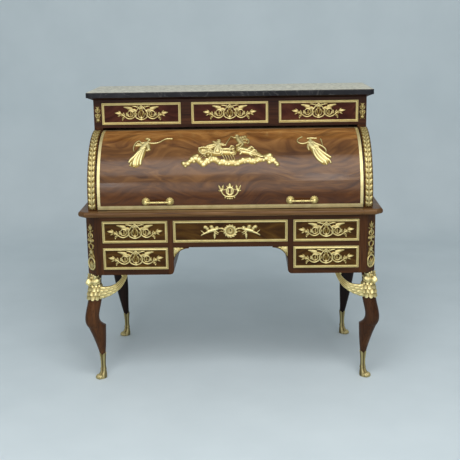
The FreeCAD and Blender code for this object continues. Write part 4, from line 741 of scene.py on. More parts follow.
# %% Winged scroll mount
WINGED_SCROLL = cast(
    [boss(0, 3, 9, 14, 2.2), boss(0, -18, 7, 7, 4.4), leaf(0, -10, -90, 17, 6, 4.6, 3)]
    + fan(0, 17, 90, 40, 5, 16, 2.8, 4.2),
    [rib([(0, 32), (8, 26), (16, 18), (23, 8)], [2.6, 3, 3.2, 2.8], 4.4),
     rib([(15, 31), (10, 22), (5, 15), (10, 4)], [2.2, 2.6, 2.4, 2.2], 4),
     rib([(16, 26), (26, 29), (37, 30)], [2.8, 3.4, 2.4], 4.6),
     rib([(22, 11), (30, 14), (44, 19), (60, 24), (75, 27)], [5.5, 6.5, 7, 6, 2.4], 3.2), leaf(30, 21, 10, 47, 4.6, 5),
     leaf(27, 14, 14, 46, 4, 4.6), leaf(28, 8, 14, 34, 3.6, 4.4),
     rib([(22, 12), (27, 2), (27, -9), (20, -18), (9, -23), (0, -25)], [3.6, 4, 4, 3.4, 3, 3], 4.4),
     rib([(10, 8), (13, -2), (11, -12), (4, -17)], [2.4, 2.8, 2.6, 2.2], 3.8), leaf(18, 4, -70, 18, 3.4, 3.8, 3),
     rib([(26, -8), (34, -16), (47, -21), (60, -19), (70, -13), (80, -6)], [3.2, 3.6, 3.6, 3.2, 2.8, 2.4], 4.2),
     hoop(48, -1, 12.5, 12, 2.7, 4.2), leaf(46, -11, 92, 21, 4.2, 4.4, 3), leaf(53, -10, 62, 16, 3, 3.8),
     leaf(62, -12, 80, 21, 3.8, 4.2, 3), leaf(68, -10, 112, 15, 3, 3.8), leaf(72, -10, 66, 20, 3.8, 4.2, 3),
     rosette(84, -5, 9, 6, 4.8), leaf(88, 0, 9, 31, 6, 4.6), leaf(88, 2, 40, 17, 3.6, 3.8),
     leaf(90, -4, -26, 18, 3.6, 3.8), leaf(74, -12, -34, 17, 3.4, 3.8),
     rib([(72, -15), (78, -20), (82, -24)], [2, 1.8, 1.6], 3.4), boss(83, -25, 3.8, 3.8, 4.4)],
    (boss(0, 6, 3.4, 3.6, 3), boss(0, -1, 2.2, 7, 3), boss(34, 22, 3.2, 2.4, 3), boss(-34, 22, 3.2, 2.4, 3)))

# %% [markdown]
# The wide drawer over the knees has its own mount: a wreath round the keyhole, held by two small winged children.
# They are built like the leaves, from bosses for heads and tapering ribs for limbs, with plain round faces.

# %% Wreath mount
WREATH = [leaf(21 * math.cos(a), 21 * math.sin(a), math.degrees(a) + 62, 15, 4.2, 5.2) for a in turns(14)]
CHILD = [
    boss(56, 12, 7.2, 8, 5.4), hoop(56, 14, 6.6, 6.4, 2.6, 4.8), rib([(62, 8), (78, 4), (94, -1)], [7, 8.5, 7.5], 5),
    rib([(92, -2), (106, -8), (116, -13), (126, -19)], [6.2, 5, 3.8, 2.6], 4.6),
    rib([(98, -5), (110, -8), (116, -2), (124, 4)], [4.6, 4, 3.2, 2.2], 4.2), leaf(72, 7, 72, 21, 7, 4.4, 3),
    leaf(76, 8, 58, 20, 5, 4), boss(80, 21, 9, 6, 3.8), leaf(90, 3, 54, 28, 7.5, 4.4, 3), leaf(93, 5, 68, 22, 5, 4),
    boss(106, 18, 8.5, 8, 4), rib([(66, 6), (58, -2), (49, -7)], [3.6, 3.4, 2.4], 4.4),
    rib([(72, 3), (62, -8), (52, -14)], [3.2, 3, 2], 4), rib([(65, -4), (66, -18), (67, -34)], [4.2, 6.4, 2.4], 4),
    leaf(66, -8, -89, 27, 6, 4.8, 3), rib([(24, 8), (36, 12), (50, 12)], [4, 4.8, 3.8], 3.8), boss(32, 11, 4, 4, 4.8),
    boss(40, 13, 4, 4, 4.8), rib([(26, -4), (36, 0), (46, -1)], [2, 2.2, 1.4], 3)]
WREATH_MOUNT = cast(
    [boss(0, 0, 24, 24, 2.4), hoop(0, 0, 21, 21, 7, 3.8)] + WREATH + fan(0, -4, -90, 75, 5, 13, 3, 4.2)
    + fan(0, 4, 90, 60, 3, 12, 2.8, 4), CHILD,
    (boss(0, 6, 2.2, 2.2, 3), boss(0, 1.5, 1.3, 4.5, 3)))

# %% Fit the bronzes to the eight drawers
PER_METRE = 1000
LOCK_BEHIND = 20
MOUNT_WIDER, MOUNT_HALF_WIDTH, MOUNT_HALF_HEIGHT = 1.02, 126, 37
DRAWERS = ("top_left", "top_centre", "top_right", "left_upper", "left_lower", "centre", "right_upper", "right_lower")
for label in DRAWERS:
    body, node = f"drawer_{label}", f"bronzes_{label}"
    low, high = (corner * PER_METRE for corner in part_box(body))
    front, top = low.y, high.z
    low_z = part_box(node)[0].z * PER_METRE
    middle_x, middle_z = (low.x + high.x) / 2, (low_z + top) / 2
    motif, taller = (WREATH_MOUNT, 1.0) if label == "centre" else (WINGED_SCROLL, 1.1)
    mount = relief(lambda u, v: motif(u / MOUNT_WIDER, v / taller), MOUNT_HALF_WIDTH, MOUNT_HALF_HEIGHT,
                   on_front(middle_x, front, middle_z))
    add_piece(f"frame_{label}", moulded_frame((low.x, low_z), (high.x, top), front), body, gilt_figures, node, 30)
    add_piece(f"mount_{label}", mount, body, gilt_figures, node)
    add_piece(f"lock_{label}", lock_plate(middle_x, front + LOCK_BEHIND, top), body, lock_brass, node)

# %% [markdown]
# ## The roll front's figures
#
# Three castings ride on the roll front: a car drawn over clouds, and a dancer at each side. Each is drawn flat and then
# bent, because on_roll turns the upward distance into an angle about the hinge. Clouds are puffs along a band; a
# figure is a boss for its head and ribs for limbs and folds of cloth. The relief stays within 6 mm, so that the roll
# front still passes under the upper case.

# %% Car over the clouds
FIGURES_AT, DANCER_X = 48, 355
PUFFS = [(-197, -74, 9), (-179, -64, 11), (-161, -53, 11), (-147, -38, 12), (-132, -54, 12), (-112, -68, 13),
         (-97, -57, 11), (-78, -49, 11), (-60, -53, 11), (-42, -64, 11), (-24, -66, 11), (-4, -68, 10), (16, -69, 11),
         (36, -67, 11), (57, -59, 10), (78, -56, 10), (99, -62, 10), (119, -54, 10), (138, -50, 11), (157, -43, 12),
         (172, -39, 10), (170, -62, 10), (188, -62, 11), (204, -74, 9)]
CLOUDS = ([rib([(x, y + 3) for x, y, _ in PUFFS], [7, 13, 16, 14, 14, 14, 16, 14, 7], 3.6)]
          + [boss(x, y + 3 + 6 * (-1) ** i, 1.1 * r, r, 5.4) for i, (x, y, r) in enumerate(PUFFS)]
          + [boss(x + 8, y + 2 - 7 * (-1) ** i, 0.85 * r, 0.8 * r, 4.8) for i, (x, y, r) in enumerate(PUFFS[:-1])])
SPOKES = [rib([(-92, -26), (-92 + 14 * math.cos(a), -26 + 14 * math.sin(a))], [1.5, 1.3], 4.6) for a in turns(8)]
CAR = SPOKES + [
    rib([(-122, -6), (-100, -4), (-72, -6), (-44, -12)], [15, 20, 25, 20], 3),
    rib([(-133, 10), (-114, 15), (-94, 12), (-70, 20)], [3.4, 3.8, 3.8, 3.4], 5.4),
    rib([(-132, 8), (-130, -8), (-118, -20), (-104, -22)], [3.4, 4.2, 4.2, 3.4], 5.2), hoop(-92, -26, 15, 15, 3, 5.4),
    boss(-92, -26, 4.5, 4.5, 5.6), leaf(-126, -2, 4, 30, 6.5, 5.2, 3), leaf(-98, 4, -4, 26, 6, 5, 3),
    rib([(-76, -12), (-60, -20), (-42, -22)], [4.5, 5, 4.5], 5),
    rib([(-132, -42), (-122, -30), (-114, -22)], [1.8, 2.2, 2], 4.2),
    rib([(-122, -43), (-112, -31), (-106, -24)], [1.8, 2.2, 2], 4.2)]
DRIVER = [
    boss(-46, 52, 8, 9, 5.6), hoop(-47, 54, 7.6, 7.6, 2.6, 5),
    rib([(-46, 42), (-50, 20), (-53, -4)], [9, 12, 12], 5.2),
    rib([(-70, 50), (-58, 44), (-40, 38), (-26, 33)], [6, 8, 7, 4], 4.2),
    rib([(-42, 22), (-39, 4), (-38, -14)], [7, 8, 7], 5), rib([(-57, 18), (-64, 0), (-66, -18)], [6.5, 7.5, 7], 5.2),
    rib([(-44, 36), (-30, 26), (-16, 27)], [4.8, 4.6, 3.6], 5.2),
    rib([(-54, 36), (-72, 30), (-88, 26), (-104, 16)], [8, 9, 8, 5], 4.4),
    rib([(-60, 26), (-76, 14), (-88, 8)], [5, 6, 4], 5.2),
    rib([(-18, 26), (-8, 50), (2, 76), (6, 86)], [3.4, 3, 2.6, 3.4], 4.2)]


def horse(x, y, turn, size):
    """One galloping horse: ribs for body, neck, head, haunch and forelegs, turned and scaled about its middle."""
    c, s = size * math.cos(math.radians(turn)), size * math.sin(math.radians(turn))
    parts = [
        ([(-22, 0), (0, 1), (20, -1)], [9.5, 8, 8.5], 4.8),
        ([(-26, 3), (-20, -6), (-24, -16)], [7, 6.5, 4], 5.2),
        ([(16, 2), (25, 12), (30, 21)], [7.5, 5.6, 4.4], 5),
        ([(28, 22), (37, 19), (44, 12)], [4.6, 4.2, 2.6], 5.4),
        ([(20, 9), (22, 17), (26, 24)], [1.6, 2, 1.6], 5.8),
        ([(20, -4), (34, -4), (44, -12)], [4.6, 3.4, 2.2], 4.8),
        ([(17, -7), (28, -13), (42, -17)], [4.4, 3.2, 2.2], 4.6)]
    return [rib([(x + c * a - s * b, y + s * a + c * b) for a, b in points], [size * w for w in widths], high)
            for points, widths, high in parts]


TEAM = (
    horse(-14, 4, 0, 0.78) + horse(-12, -13, -2, 0.92) + horse(62, 2, -16, 0.95) + horse(72, -16, -14, 1)
    + [rib([(-38, -8), (-10, -10), (18, -14)], [16, 18, 14], 3),
       rib([(38, 6), (62, -2), (92, -12), (120, -26), (140, -37)], [15, 21, 19, 12, 6], 3.2),
       rib([(110, -26), (126, -34), (143, -42)], [6, 6, 4], 4.4)]
    + [rib([(x, -30), (x + 6, -43), (x + 9, -57)], [3.2, 2.5, 2.2], 4.4) for x in (-30, -19, -8, 3, 14)])
FLIER = [
    boss(31, 88, 8.4, 8.8, 5.4), hoop(31, 90, 7.4, 7, 2.4, 4.8),
    rib([(33, 80), (38, 62), (46, 44)], [9.5, 12, 11], 5.2), rib([(46, 44), (40, 30), (30, 23)], [8, 6.5, 4.2], 4.6),
    rib([(48, 42), (57, 32), (50, 20), (44, 12)], [8, 6.5, 5, 4], 4.6),
    rib([(30, 76), (17, 78), (8, 87)], [4.4, 3.8, 3], 4.6), leaf(36, 72, 24, 48, 11, 4.8, 4),
    leaf(40, 60, 4, 48, 12, 4.4, 4), leaf(46, 50, -18, 38, 8, 4),
    rib([(70, 74), (80, 60), (84, 44), (78, 34)], [3.4, 3.8, 3.6, 2.2], 4.2)]
GAPS = (
    boss(8, -8, 3.6, 3.2, 3), boss(25, 2, 3.2, 7, 3), boss(-72, 2, 3.4, 3, 3), boss(-103, -41, 10, 2.4, 3),
    boss(-42, -40, 11, 2.6, 3), boss(45, -38, 6.5, 2.6, 3), boss(96, -41, 12, 2.4, 3), boss(140, -45, 9, 2, 3),
    boss(64, 58, 3.6, 3, 3), boss(14, 70, 3.4, 4.4, 3))
CHARIOT = cast(CLOUDS + CAR + DRIVER + TEAM + FLIER, (), GAPS)


def chased(u, v):
    """The chariot's heights times two crossed waves of about 9 mm, so that broad masses break up as chasing does."""
    waves = np.cos(0.70 * u + 1.5 * np.sin(0.37 * v)) * np.cos(0.62 * v + 1.3 * np.sin(0.45 * u))
    return CHARIOT(u, v) * (0.88 + 0.12 * waves)


add_piece("car_over_clouds", relief(chased, 216, 99, on_roll(0, FIGURES_AT), step=1.3), "roll_front", gilt_figures,
          "chariot_mount")

# %% Two dancers
TRUMPETER = cast(
    [rib([(-22, 8), (-32, -22), (-45, -48), (-49, -60)], [17, 22, 25, 23], 3.4),
     rib([(-14, 8), (-21, -22), (-26, -48), (-27, -68)], [6.5, 7, 7, 6], 5),
     rib([(-22, 6), (-31, -24), (-38, -48), (-40, -70)], [6.5, 6.5, 6.5, 6], 5.2),
     rib([(-30, 2), (-42, -25), (-53, -46), (-57, -68)], [6.5, 6.5, 6.5, 6], 5),
     rib([(-37, -4), (-54, -28), (-69, -45), (-76, -58)], [6, 6.5, 6.5, 5], 4.8),
     rib([(-66, -60), (-71, -74)], [4.6, 4.2], 4.2), rib([(-54, -66), (-54, -81)], [4.2, 3.4], 4.2),
     rib([(-27, 4), (-20, 22), (-8, 46)], [14, 14, 13], 5.2), rib([(-4, 44), (2, 26), (5, 7)], [9, 11, 8], 4.2),
     boss(-32, 38, 18, 10, 3.4), boss(-3, 39, 5.6, 5.6, 6), boss(-14, 38, 5.4, 5.4, 5.8), boss(4, 69, 8.4, 9.2, 5.6),
     boss(-4, 77, 13, 6, 4.8), rib([(1, 60), (-3, 50)], [5.5, 8], 4.8),
     rib([(0, 50), (14, 44), (36, 44), (54, 52), (66, 64), (80, 73), (97, 75)], [6, 4.6, 3.4, 3, 3, 3, 3.2], 4.6),
     rib([(92, 75), (103, 75)], [3.4, 5.6], 4.6), rib([(-10, 50), (-26, 46), (-39, 60)], [5.2, 4.8, 4.2], 4.8),
     rib([(-40, 62), (-52, 48), (-59, 28), (-60, 8), (-57, -4)], [3.6, 4, 4, 3.6, 2.4], 4),
     rib([(-50, 32), (-34, 34), (-16, 28)], [7, 9, 8], 4), rib([(-46, 40), (-30, 36), (-18, 20)], [3.5, 4.5, 4], 5),
     rib([(0, 26), (6, 14), (11, 4)], [7, 6.5, 4.2], 4.4), boss(-2, 2, 8, 6, 4),
     rib([(-30, 14), (-18, 12), (-8, 16)], [2.6, 3, 2.4], 6)])
GARLAND = cast(
    [rib([(8, 4), (22, -20), (40, -45), (51, -58)], [17, 22, 25, 22], 3.4),
     rib([(4, -4), (10, -30), (24, -54), (42, -70)], [6.5, 7, 7, 6], 4.8),
     rib([(11, 0), (21, -26), (37, -48), (55, -66)], [6.5, 6.5, 6.5, 6], 5.2),
     rib([(19, 2), (33, -20), (51, -42), (69, -58)], [6.5, 6.5, 6.5, 6], 5),
     rib([(27, 2), (44, -18), (62, -34), (77, -46)], [6, 6.5, 6, 5], 4.8), rib([(52, -66), (59, -79)], [5, 4.2], 4.2),
     rib([(70, -56), (77, -72)], [4.8, 4], 4.2), rib([(-5, 46), (-5, 24), (8, 2)], [12, 14, 14], 5.2),
     rib([(0, 40), (10, 24), (26, 13)], [10, 12, 7], 4.2), boss(-11, 33, 5.4, 5.4, 6), boss(1, 35, 5.4, 5.4, 5.8),
     boss(-5, 58, 8.4, 9, 5.6), rib([(-18, 63), (0, 66), (22, 62)], [4, 5, 3], 4.8),
     rib([(-5, 52), (-5, 44)], [5.5, 8], 4.8),
     rib([(-12, 42), (-24, 33), (-40, 29), (-57, 35), (-62, 50), (-53, 65), (-41, 75)],
         [5.6, 4.4, 3.6, 3.4, 3.4, 3.6, 5], 4.6),
     rib([(4, 42), (20, 28), (38, 17), (50, 6), (58, -8), (58, -23)], [6, 5, 4.6, 4.6, 4.2, 2.4], 4.8),
     rib([(40, 57), (43, 40), (46, 16)], [5, 3.2, 2.6], 4.2),
     rib([(-16, 22), (-17, 8), (-14, -6)], [6, 6.5, 4.5], 4.4), rib([(8, 12), (18, 10), (26, 4)], [2.6, 3, 2.4], 6),
     rib([(-8, 10), (2, 6), (10, 10)], [2.4, 2.8, 2.2], 6)])
for name, shape, half_width, x, node in (("dancer_with_trumpet", TRUMPETER, 110, -DANCER_X, "dancer_left"),
                                         ("dancer_with_garland", GARLAND, 90, DANCER_X, "dancer_right")):
    add_piece(name, relief(shape, half_width, 86, on_roll(x, FIGURES_AT)), "roll_front", gilt_figures, node)

# %% [markdown]
# ## Keyhole mount and pulls of the roll front
#
# The keyhole wears a round shield between two curving birds. The two pulls are turned bars between round rosettes. A
# bar is a circle carried along a line, with a radius that swells; a rosette is a turned profile whose rim waves.

# %% Keyhole mount
KEYHOLE_AT = 4.5
LYRE = cast(
    [boss(0, 8, 17, 19, 4.4), hoop(0, 8, 14.5, 15.5, 4.8, 5), leaf(0, 22, 90, 21, 8, 5), boss(0, -24, 7, 5, 4.6)],
    [rib([(0, -15), (11, -15), (20, -14)], [5, 4.6, 4], 4.4), boss(9, -24, 5, 4.4, 4.4), boss(20, -20, 4.4, 5.4, 4.2),
     rib([(18, -14), (28, -6), (34, 4), (33, 14)], [3.8, 3.6, 4.4, 5], 4.6), boss(37, 9, 7, 6, 4.8),
     leaf(35, 4, 105, 35, 6.5, 5, 3), leaf(36, 8, 66, 31, 5, 4.8), leaf(40, 8, 20, 11, 3, 3.8),
     rib([(17, 16), (24, 13), (31, 12)], [2.6, 2.6, 2], 3.8), leaf(7, 22, 48, 13, 3.2, 4)],
    (boss(0, 13, 4, 4.6, 6), boss(0, 5, 2.8, 9, 6)))
add_piece("keyhole_mount", relief(LYRE, 51, 40, on_roll(0, KEYHOLE_AT)), "roll_front", gilt_figures,
          "cylinder_escutcheon")

# %% Pulls
PULL_X, PULL_DEGREES, PULL_REACH, PULL_OUT = 308, -3.0, 51.0, 20
ROSETTE_PROFILE = np.array([(17.4, -1), (17.8, 1.4), (16.6, 3.0), (13.6, 3.2), (12.6, 4.6), (10.0, 6.4), (7.2, 6.8),
                            (6.0, 9.0), (5.6, 13), (6.4, 17), (8.0, 19.5), (7.6, 22.4), (4.6, 24.2), (0.6, 24.8)])


def turned_rosette(x):
    """A turned profile, radius against height, carried round the outward line; its rim waves like petals."""
    radius, rise = ROSETTE_PROFILE.T[..., None]
    turn = turns(64)
    radius = radius * (1 + np.where((radius > 9) & (rise > 0), 0.05 * np.cos(12 * turn), 0))
    points = on_roll(x, PULL_DEGREES)(radius * np.cos(turn), radius * np.sin(turn), np.repeat(rise, len(turn), axis=1))
    return surface(points, lift=np.repeat(np.linspace(0.35, 1, len(rise)), len(turn)))


def turned_bar(x):
    """A circle carried along the pull: its radius swells at the middle and at four rings."""
    along = np.linspace(-PULL_REACH, PULL_REACH, 90)[:, None]
    share = along / PULL_REACH
    radius = 3.6 + 1.0 * np.cos(math.pi * share / 2) ** 2
    for ring in (-0.62, 0.62, -0.08, 0.08):
        radius = radius + 1.5 * np.exp(-((share - ring) / 0.035) ** 2)
    turn = turns(28)[None, :]
    return surface(on_roll(x, PULL_DEGREES)(np.repeat(along, turn.size, axis=1), radius * np.sin(turn),
                                            PULL_OUT + radius * np.cos(turn)))


PULLS = joined(*(part for x in (-PULL_X, PULL_X)
                 for part in (turned_rosette(x - PULL_REACH), turned_rosette(x + PULL_REACH), turned_bar(x))))
add_piece("roll_front_pulls", PULLS, "roll_front", gilt_cast, "cylinder_handles")

# %% [markdown]
# ## Foliage strips, and the small mounts of posts, stiles and brackets
#
# Down each cheek runs a strip of leaves, one unit repeated eighteen times. Wrapping the upward distance into a single
# period lets one drawing serve the whole strip. The posts carry a long drop that ends in a ring, the upper stiles a
# short stack of scrolls, and the brackets beside the knees a palmette in the corner.

# %% Foliage strips
STRIP_X, STRIP_LOW, STRIP_HIGH, STRIP_RADIUS, STRIP_UNITS = 590.5, -10.0, 83.7, 266.0, 18
STRIP_LENGTH = math.radians(STRIP_HIGH - STRIP_LOW) * STRIP_RADIUS
PERIOD = STRIP_LENGTH / STRIP_UNITS
LEAF_UNIT = [boss(7.6, 3.0, 6.4, 11.0, 4.4, -16), boss(12.6, 8.0, 3.4, 4.6, 4.0), leaf(1, -10, 40, 18, 3.0, 3.8)]
LEAF_SPINE = [leaf(0, -11, 90, 22, 3.0, 5.0), boss(0, -12, 3.0, 2.8, 4.6)]


def strip(u, v):
    """One unit of leaves over a thin web, repeated by taking the upward distance modulo the period."""
    local = np.mod(v + STRIP_LENGTH / 2, PERIOD) - PERIOD / 2
    aside = np.abs(u)
    heights = [2.0 * (1 - (aside / (15.0 + 1.3 * np.cos(2 * math.pi * (local - 4) / PERIOD))) ** 6)]
    for shift in (-PERIOD, 0, PERIOD):
        heights += [part(aside, local + shift) for part in LEAF_UNIT]
        heights += [part(u, local + shift) for part in LEAF_SPINE]
    tall = np.minimum(np.maximum.reduce(heights), 6 * (16.3 - aside))
    for shift in (0, PERIOD):
        tall = np.minimum(tall, -boss(5.2, -10.6, 1.9, 2.6, 3)(aside, local + shift))
    return np.minimum(tall, (STRIP_LENGTH / 2 - np.abs(v)) * 2)


STRIP = relief(strip, 16.6, STRIP_LENGTH / 2 + 1, on_roll(STRIP_X, (STRIP_LOW + STRIP_HIGH) / 2, STRIP_RADIUS))
add_pair("foliage_strip_pair", STRIP, gilt_figures, "foliage_strips")

# %% Post, stile and bracket mounts
POST_AT, STILE_AT, BRACKET_AT = (604, -304, 626.5), (590, UPPER_FRONT, 1166), (213, BASE_FRONT, 582.5)
SCOOP_X, SCOOP_Z, SCOOP_RADIUS = -33, -35.5, 67.5
DROP = cast(
    fan(0, 64, 90, 22, 3, 33, 3.6, 4)
    + [boss(0, 61, 4, 3.6, 4.6), leaf(0, 60, -90, 26, 4.6, 4.2), boss(0, 32, 3.2, 3, 4.2),
       leaf(0, 30, -90, 24, 4.6, 4.4), rosette(0, -24, 12.5, 7, 5), hoop(0, -68, 16.5, 22, 3, 4.6)]
    + fan(0, -84, 90, 48, 5, 30, 3.4, 4)
    + [boss(0, -85, 4, 3.4, 4.6)],
    [rib([(0, 58), (8, 50), (10, 40), (4, 33)], [1.6, 2.6, 2.6, 1.6], 3.8),
     rib(coil(8, 22, 6.5, 1.2, 90, -1), [2.2, 1.8, 1.4], 3.8), leaf(2, 30, -52, 18, 3.2, 3.6),
     rib([(0, 8), (9, 2), (10, -8), (3, -14)], [1.8, 2.6, 2.6, 1.6], 3.8), leaf(3, 8, -35, 16, 3, 3.6),
     leaf(4, -28, -58, 22, 3.6, 4), leaf(2, -36, -80, 16, 3, 3.8), leaf(6, 62, 40, 14, 2.8, 3.6)])
STACK = cast(
    [rosette(0, -27, 9, 4, 5), leaf(0, -16, 90, 24, 4, 4.4), leaf(0, 8, 90, 28, 4.2, 4.4), boss(0, 6, 3.2, 3, 4.8),
     boss(0, -16, 3, 2.8, 4.6)],
    [rib(coil(6.5, -4, 6, 1.2, 270, 1), [2.2, 1.9, 1.3], 4), rib(coil(6, 18, 5.4, 1.2, 270, 1), [2, 1.7, 1.2], 4),
     leaf(3, -18, 50, 12, 2.8, 3.8), leaf(3, 5, 48, 12, 2.6, 3.8), leaf(2, 24, 62, 13, 2.4, 3.6),
     boss(8, -34, 2.2, 2.2, 3.6), boss(8, -20, 2.2, 2.2, 3.6)])
PALMETTE = cast([boss(31, 33, 15, 15, 3), boss(25, 27, 6, 6, 5.4)]
                + [leaf(31, 33, 184 + 16.6 * i, length, 4.6, 4.8, 3)
                   for i, length in enumerate((52, 43, 34, 34, 43, 52))])


def stretched_drop(u, v):
    """The drop made 1.4 times as wide, and 1.2 times as long below its middle."""
    return DROP(u / 1.4, np.where(v < 0, v / 1.2, v))


def palmette_on_bracket(u, v):
    """The palmette, cut off where the bracket's hollow edge begins: one radius from the centre of its scoop."""
    wood = (np.hypot(u - SCOOP_X, v - SCOOP_Z) - SCOOP_RADIUS) * 1.2
    return np.minimum(PALMETTE(u, v), wood)


add_pair("post_drops", relief(stretched_drop, 25, 120, on_cant(*POST_AT)), gilt_figures, "post_mounts")
add_pair("stile_stacks", relief(STACK, 13.5, 37, on_front(*STILE_AT)), gilt_figures, "stile_mounts")
add_pair("bracket_palmettes", relief(palmette_on_bracket, 31.5, 34, on_front(*BRACKET_AT)), gilt_figures,
         "bracket_mounts")

# %% [markdown]
# ## Lions on the front legs
#
# A gilt lion sits round the top of each front leg: a head turned out at the corner, a breast of overlapping petals
# and two wings that sweep up under the case. The head is a ball whose radius changes with direction: soft bumps raise
# the muzzle, brows, cheeks and ears, hollows sink the eyes and mouth, and waves make the locks of the mane. The breast
# is rings round the leg, and a wing is a lens-shaped section carried from root to tip between two bowed edges.

# %% Lion's head
FRONT_LEG = np.array([592.0, -269.0, 0.0])
AHEAD = np.array([1.0, -1.0, 0.0]) / math.sqrt(2)
ASIDE = np.array([1.0, 1.0, 0.0]) / math.sqrt(2)
UP = np.array([0.0, 0.0, 1.0])
HEAD = np.array([604.0, -289.0, 469.0])
CASE_UNDERSIDE = 496.6


def lion_head():
    """Radius of an egg plus bumps, each a height times a bell curve of the angle from the bump's own direction."""
    polar = np.linspace(0.03, math.pi - 0.03, 100)[:, None]
    turn = turns(160)[None, :]
    ahead = np.cos(polar) * np.ones_like(turn)
    aside = np.sin(polar) * np.cos(turn)
    up = np.sin(polar) * np.sin(turn)
    egg = 1 / np.sqrt((ahead / 26) ** 2 + (aside / 25) ** 2 + (up / 23) ** 2)

    def bump(a, s, u, high, spread):
        towards = (ahead * a + aside * s + up * u) / math.sqrt(a * a + s * s + u * u)
        return high * np.exp(-(np.arccos(np.clip(towards, -1, 1)) / spread) ** 2)

    def twin(a, s, u, high, spread):
        return bump(a, s, u, high, spread) + bump(a, -s, u, high, spread)

    face = (bump(0.94, 0, -0.34, 14, 0.42) + bump(0.96, 0, 0.10, 6.0, 0.22) + bump(0.98, 0, -0.17, 4.0, 0.12)
            + bump(0.78, 0, -0.66, 5.0, 0.22) + twin(0.90, 0.24, -0.36, 3.5, 0.17) + twin(0.80, 0.36, 0.48, 5.0, 0.20)
            + twin(0.60, 0.72, -0.22, 3.5, 0.26) - twin(0.86, 0.42, 0.20, 5.5, 0.14) + twin(0.86, 0.42, 0.19, 3.0, 0.07)
            - twin(0.97, 0.09, -0.22, 1.8, 0.05))
    mouth = 3.2 * np.exp(-((up + 0.50) / 0.045) ** 2) * (ahead > 0.5) * np.exp(-(aside / 0.42) ** 4)
    behind = 1 / (1 + np.exp(-(polar - 1.02) / 0.06))
    locks = 0.5 + 0.5 * np.cos(10 * turn + 3.5 * polar + 1.2 * np.sin(3 * turn))
    tiers = 0.55 + 0.45 * np.cos(8.5 * polar + 1.5 * np.cos(5 * turn))
    mane = behind * (3.0 + 6.0 * locks * (0.55 + 0.45 * tiers))
    ears = twin(0.30, 0.68, 0.66, 6.0, 0.20) - twin(0.46, 0.66, 0.60, 3.0, 0.10)
    radius = egg + face - mouth + mane + ears
    points = HEAD + radius[..., None] * (ahead[..., None] * AHEAD + aside[..., None] * ASIDE + up[..., None] * UP)
    points[..., 2] = np.minimum(points[..., 2], CASE_UNDERSIDE)
    return surface(points, lift=np.clip((radius - egg + 3) / 12, 0, 1))


# %% Lion's breast
BREAST_FOOT, BREAST_TOP, SCALLOP, PETAL_ROWS = 385, 456, 7, 4


def lion_breast():
    """Rings round the leg; in each of four rows the radius steps out to a row of round petals, set half a step on."""
    turn = turns(192)[None, :]
    share = np.concatenate([[0.0], np.linspace(0, 1, 110)])[:, None]
    row = np.floor(share * PETAL_ROWS)
    within = share * PETAL_ROWS - row
    petal = np.abs(np.cos(4.5 * turn + row * math.pi / 2))
    foot = BREAST_FOOT - SCALLOP * np.abs(np.cos(4.5 * turn))
    height = foot + share * (BREAST_TOP - foot)
    out = 20 - 10 * np.clip(share / 0.6, 0, 1)
    step = np.clip(1 - within, 0, 1) ** 0.7 * petal ** 0.5
    radius = np.interp(share, [0, 0.25, 0.7, 1], [29.5, 32, 30, 21]) + 4.6 * step
    radius[0] = 22
    spine = FRONT_LEG + out[..., None] * AHEAD
    round_way = np.cos(turn)[..., None] * AHEAD + np.sin(turn)[..., None] * ASIDE
    points = spine + radius[..., None] * round_way + height[..., None] * UP
    return surface(points, lift=np.clip(0.15 + 0.85 * step, 0, 1))


# %% Lion's wings
WING_OUT = 20
LEFTWARD, BACKWARD = np.array([-1.0, 0, 0]), np.array([0, 1.0, 0])


def tube(path, radii, side):
    """A circle carried along a path; one of its axes stays on the given side, the other is square to the path."""
    tangent = np.gradient(path, axis=0)
    tangent /= np.linalg.norm(tangent, axis=1, keepdims=True)
    other = np.cross(tangent, side)
    turn = turns(20)[None, :, None]
    ring = np.cos(turn) * other[:, None, :] + np.sin(turn) * np.asarray(side)
    return surface(path[:, None, :] + np.asarray(radii)[:, None, None] * ring)


def lion_wing(way, aside):
    """Sections are lenses between the two edges; the root half wears lapped scales, the outer half long quills.

    A scale is a cell of a slanted grid: it rises along the cell to a rounded tip, where the next one starts lower.
    """
    along = np.linspace(0, 1, 170)[:, None]
    loop = turns(120)[None, :]
    across = (1 - np.cos(loop)) / 2
    face = np.sign(np.sin(loop)) * np.abs(np.sin(loop)) ** 0.45

    def bowed(first, last, sag):
        chord = np.subtract(last, first)
        square = np.array([chord[1], -chord[0]]) / np.hypot(*chord)
        return first + along * chord + 4 * sag * along * (1 - along) * square

    low = bowed((4.0, 376.0), (142.0, CASE_UNDERSIDE), 29)
    high = bowed((4.0, 440.0), (124.0, CASE_UNDERSIDE), 27)
    root = 1 / (1 + np.exp((along - 0.52) / 0.03))
    place = low[:, None, :] * (1 - across[..., None]) + high[:, None, :] * across[..., None]
    place[..., 1] += root * 1.6 * np.abs(np.sin(7 * math.pi * along)) * (1 - across) ** 3
    row = np.floor(across * 4)
    aslant = np.mod(along * 7 + 0.5 * row, 1)
    aside_cell = 2 * np.mod(across * 4, 1) - 1
    scale = np.where(aslant < 1 - 0.45 * aside_cell ** 2, 0.25 + 0.75 * aslant, 0.1) * (1 - 0.45 * aside_cell ** 2)
    rims = np.exp(-(across / 0.10) ** 2) + np.exp(-((1 - across) / 0.12) ** 2)
    quills = (0.9 * np.cos(2 * math.pi * 4 * across) + 1.1 * rims) * (1 - root)
    coverts = root * 2.6 * scale
    offset = face * (4.0 + 5.5 * (1 - along) ** 2 + quills + coverts)
    points = FRONT_LEG + place[..., :1] * way + (WING_OUT + offset)[..., None] * aside + place[..., 1:] * UP
    return surface(points, lift=np.clip(0.35 + 0.3 * quills + 0.24 * coverts, 0, 1))


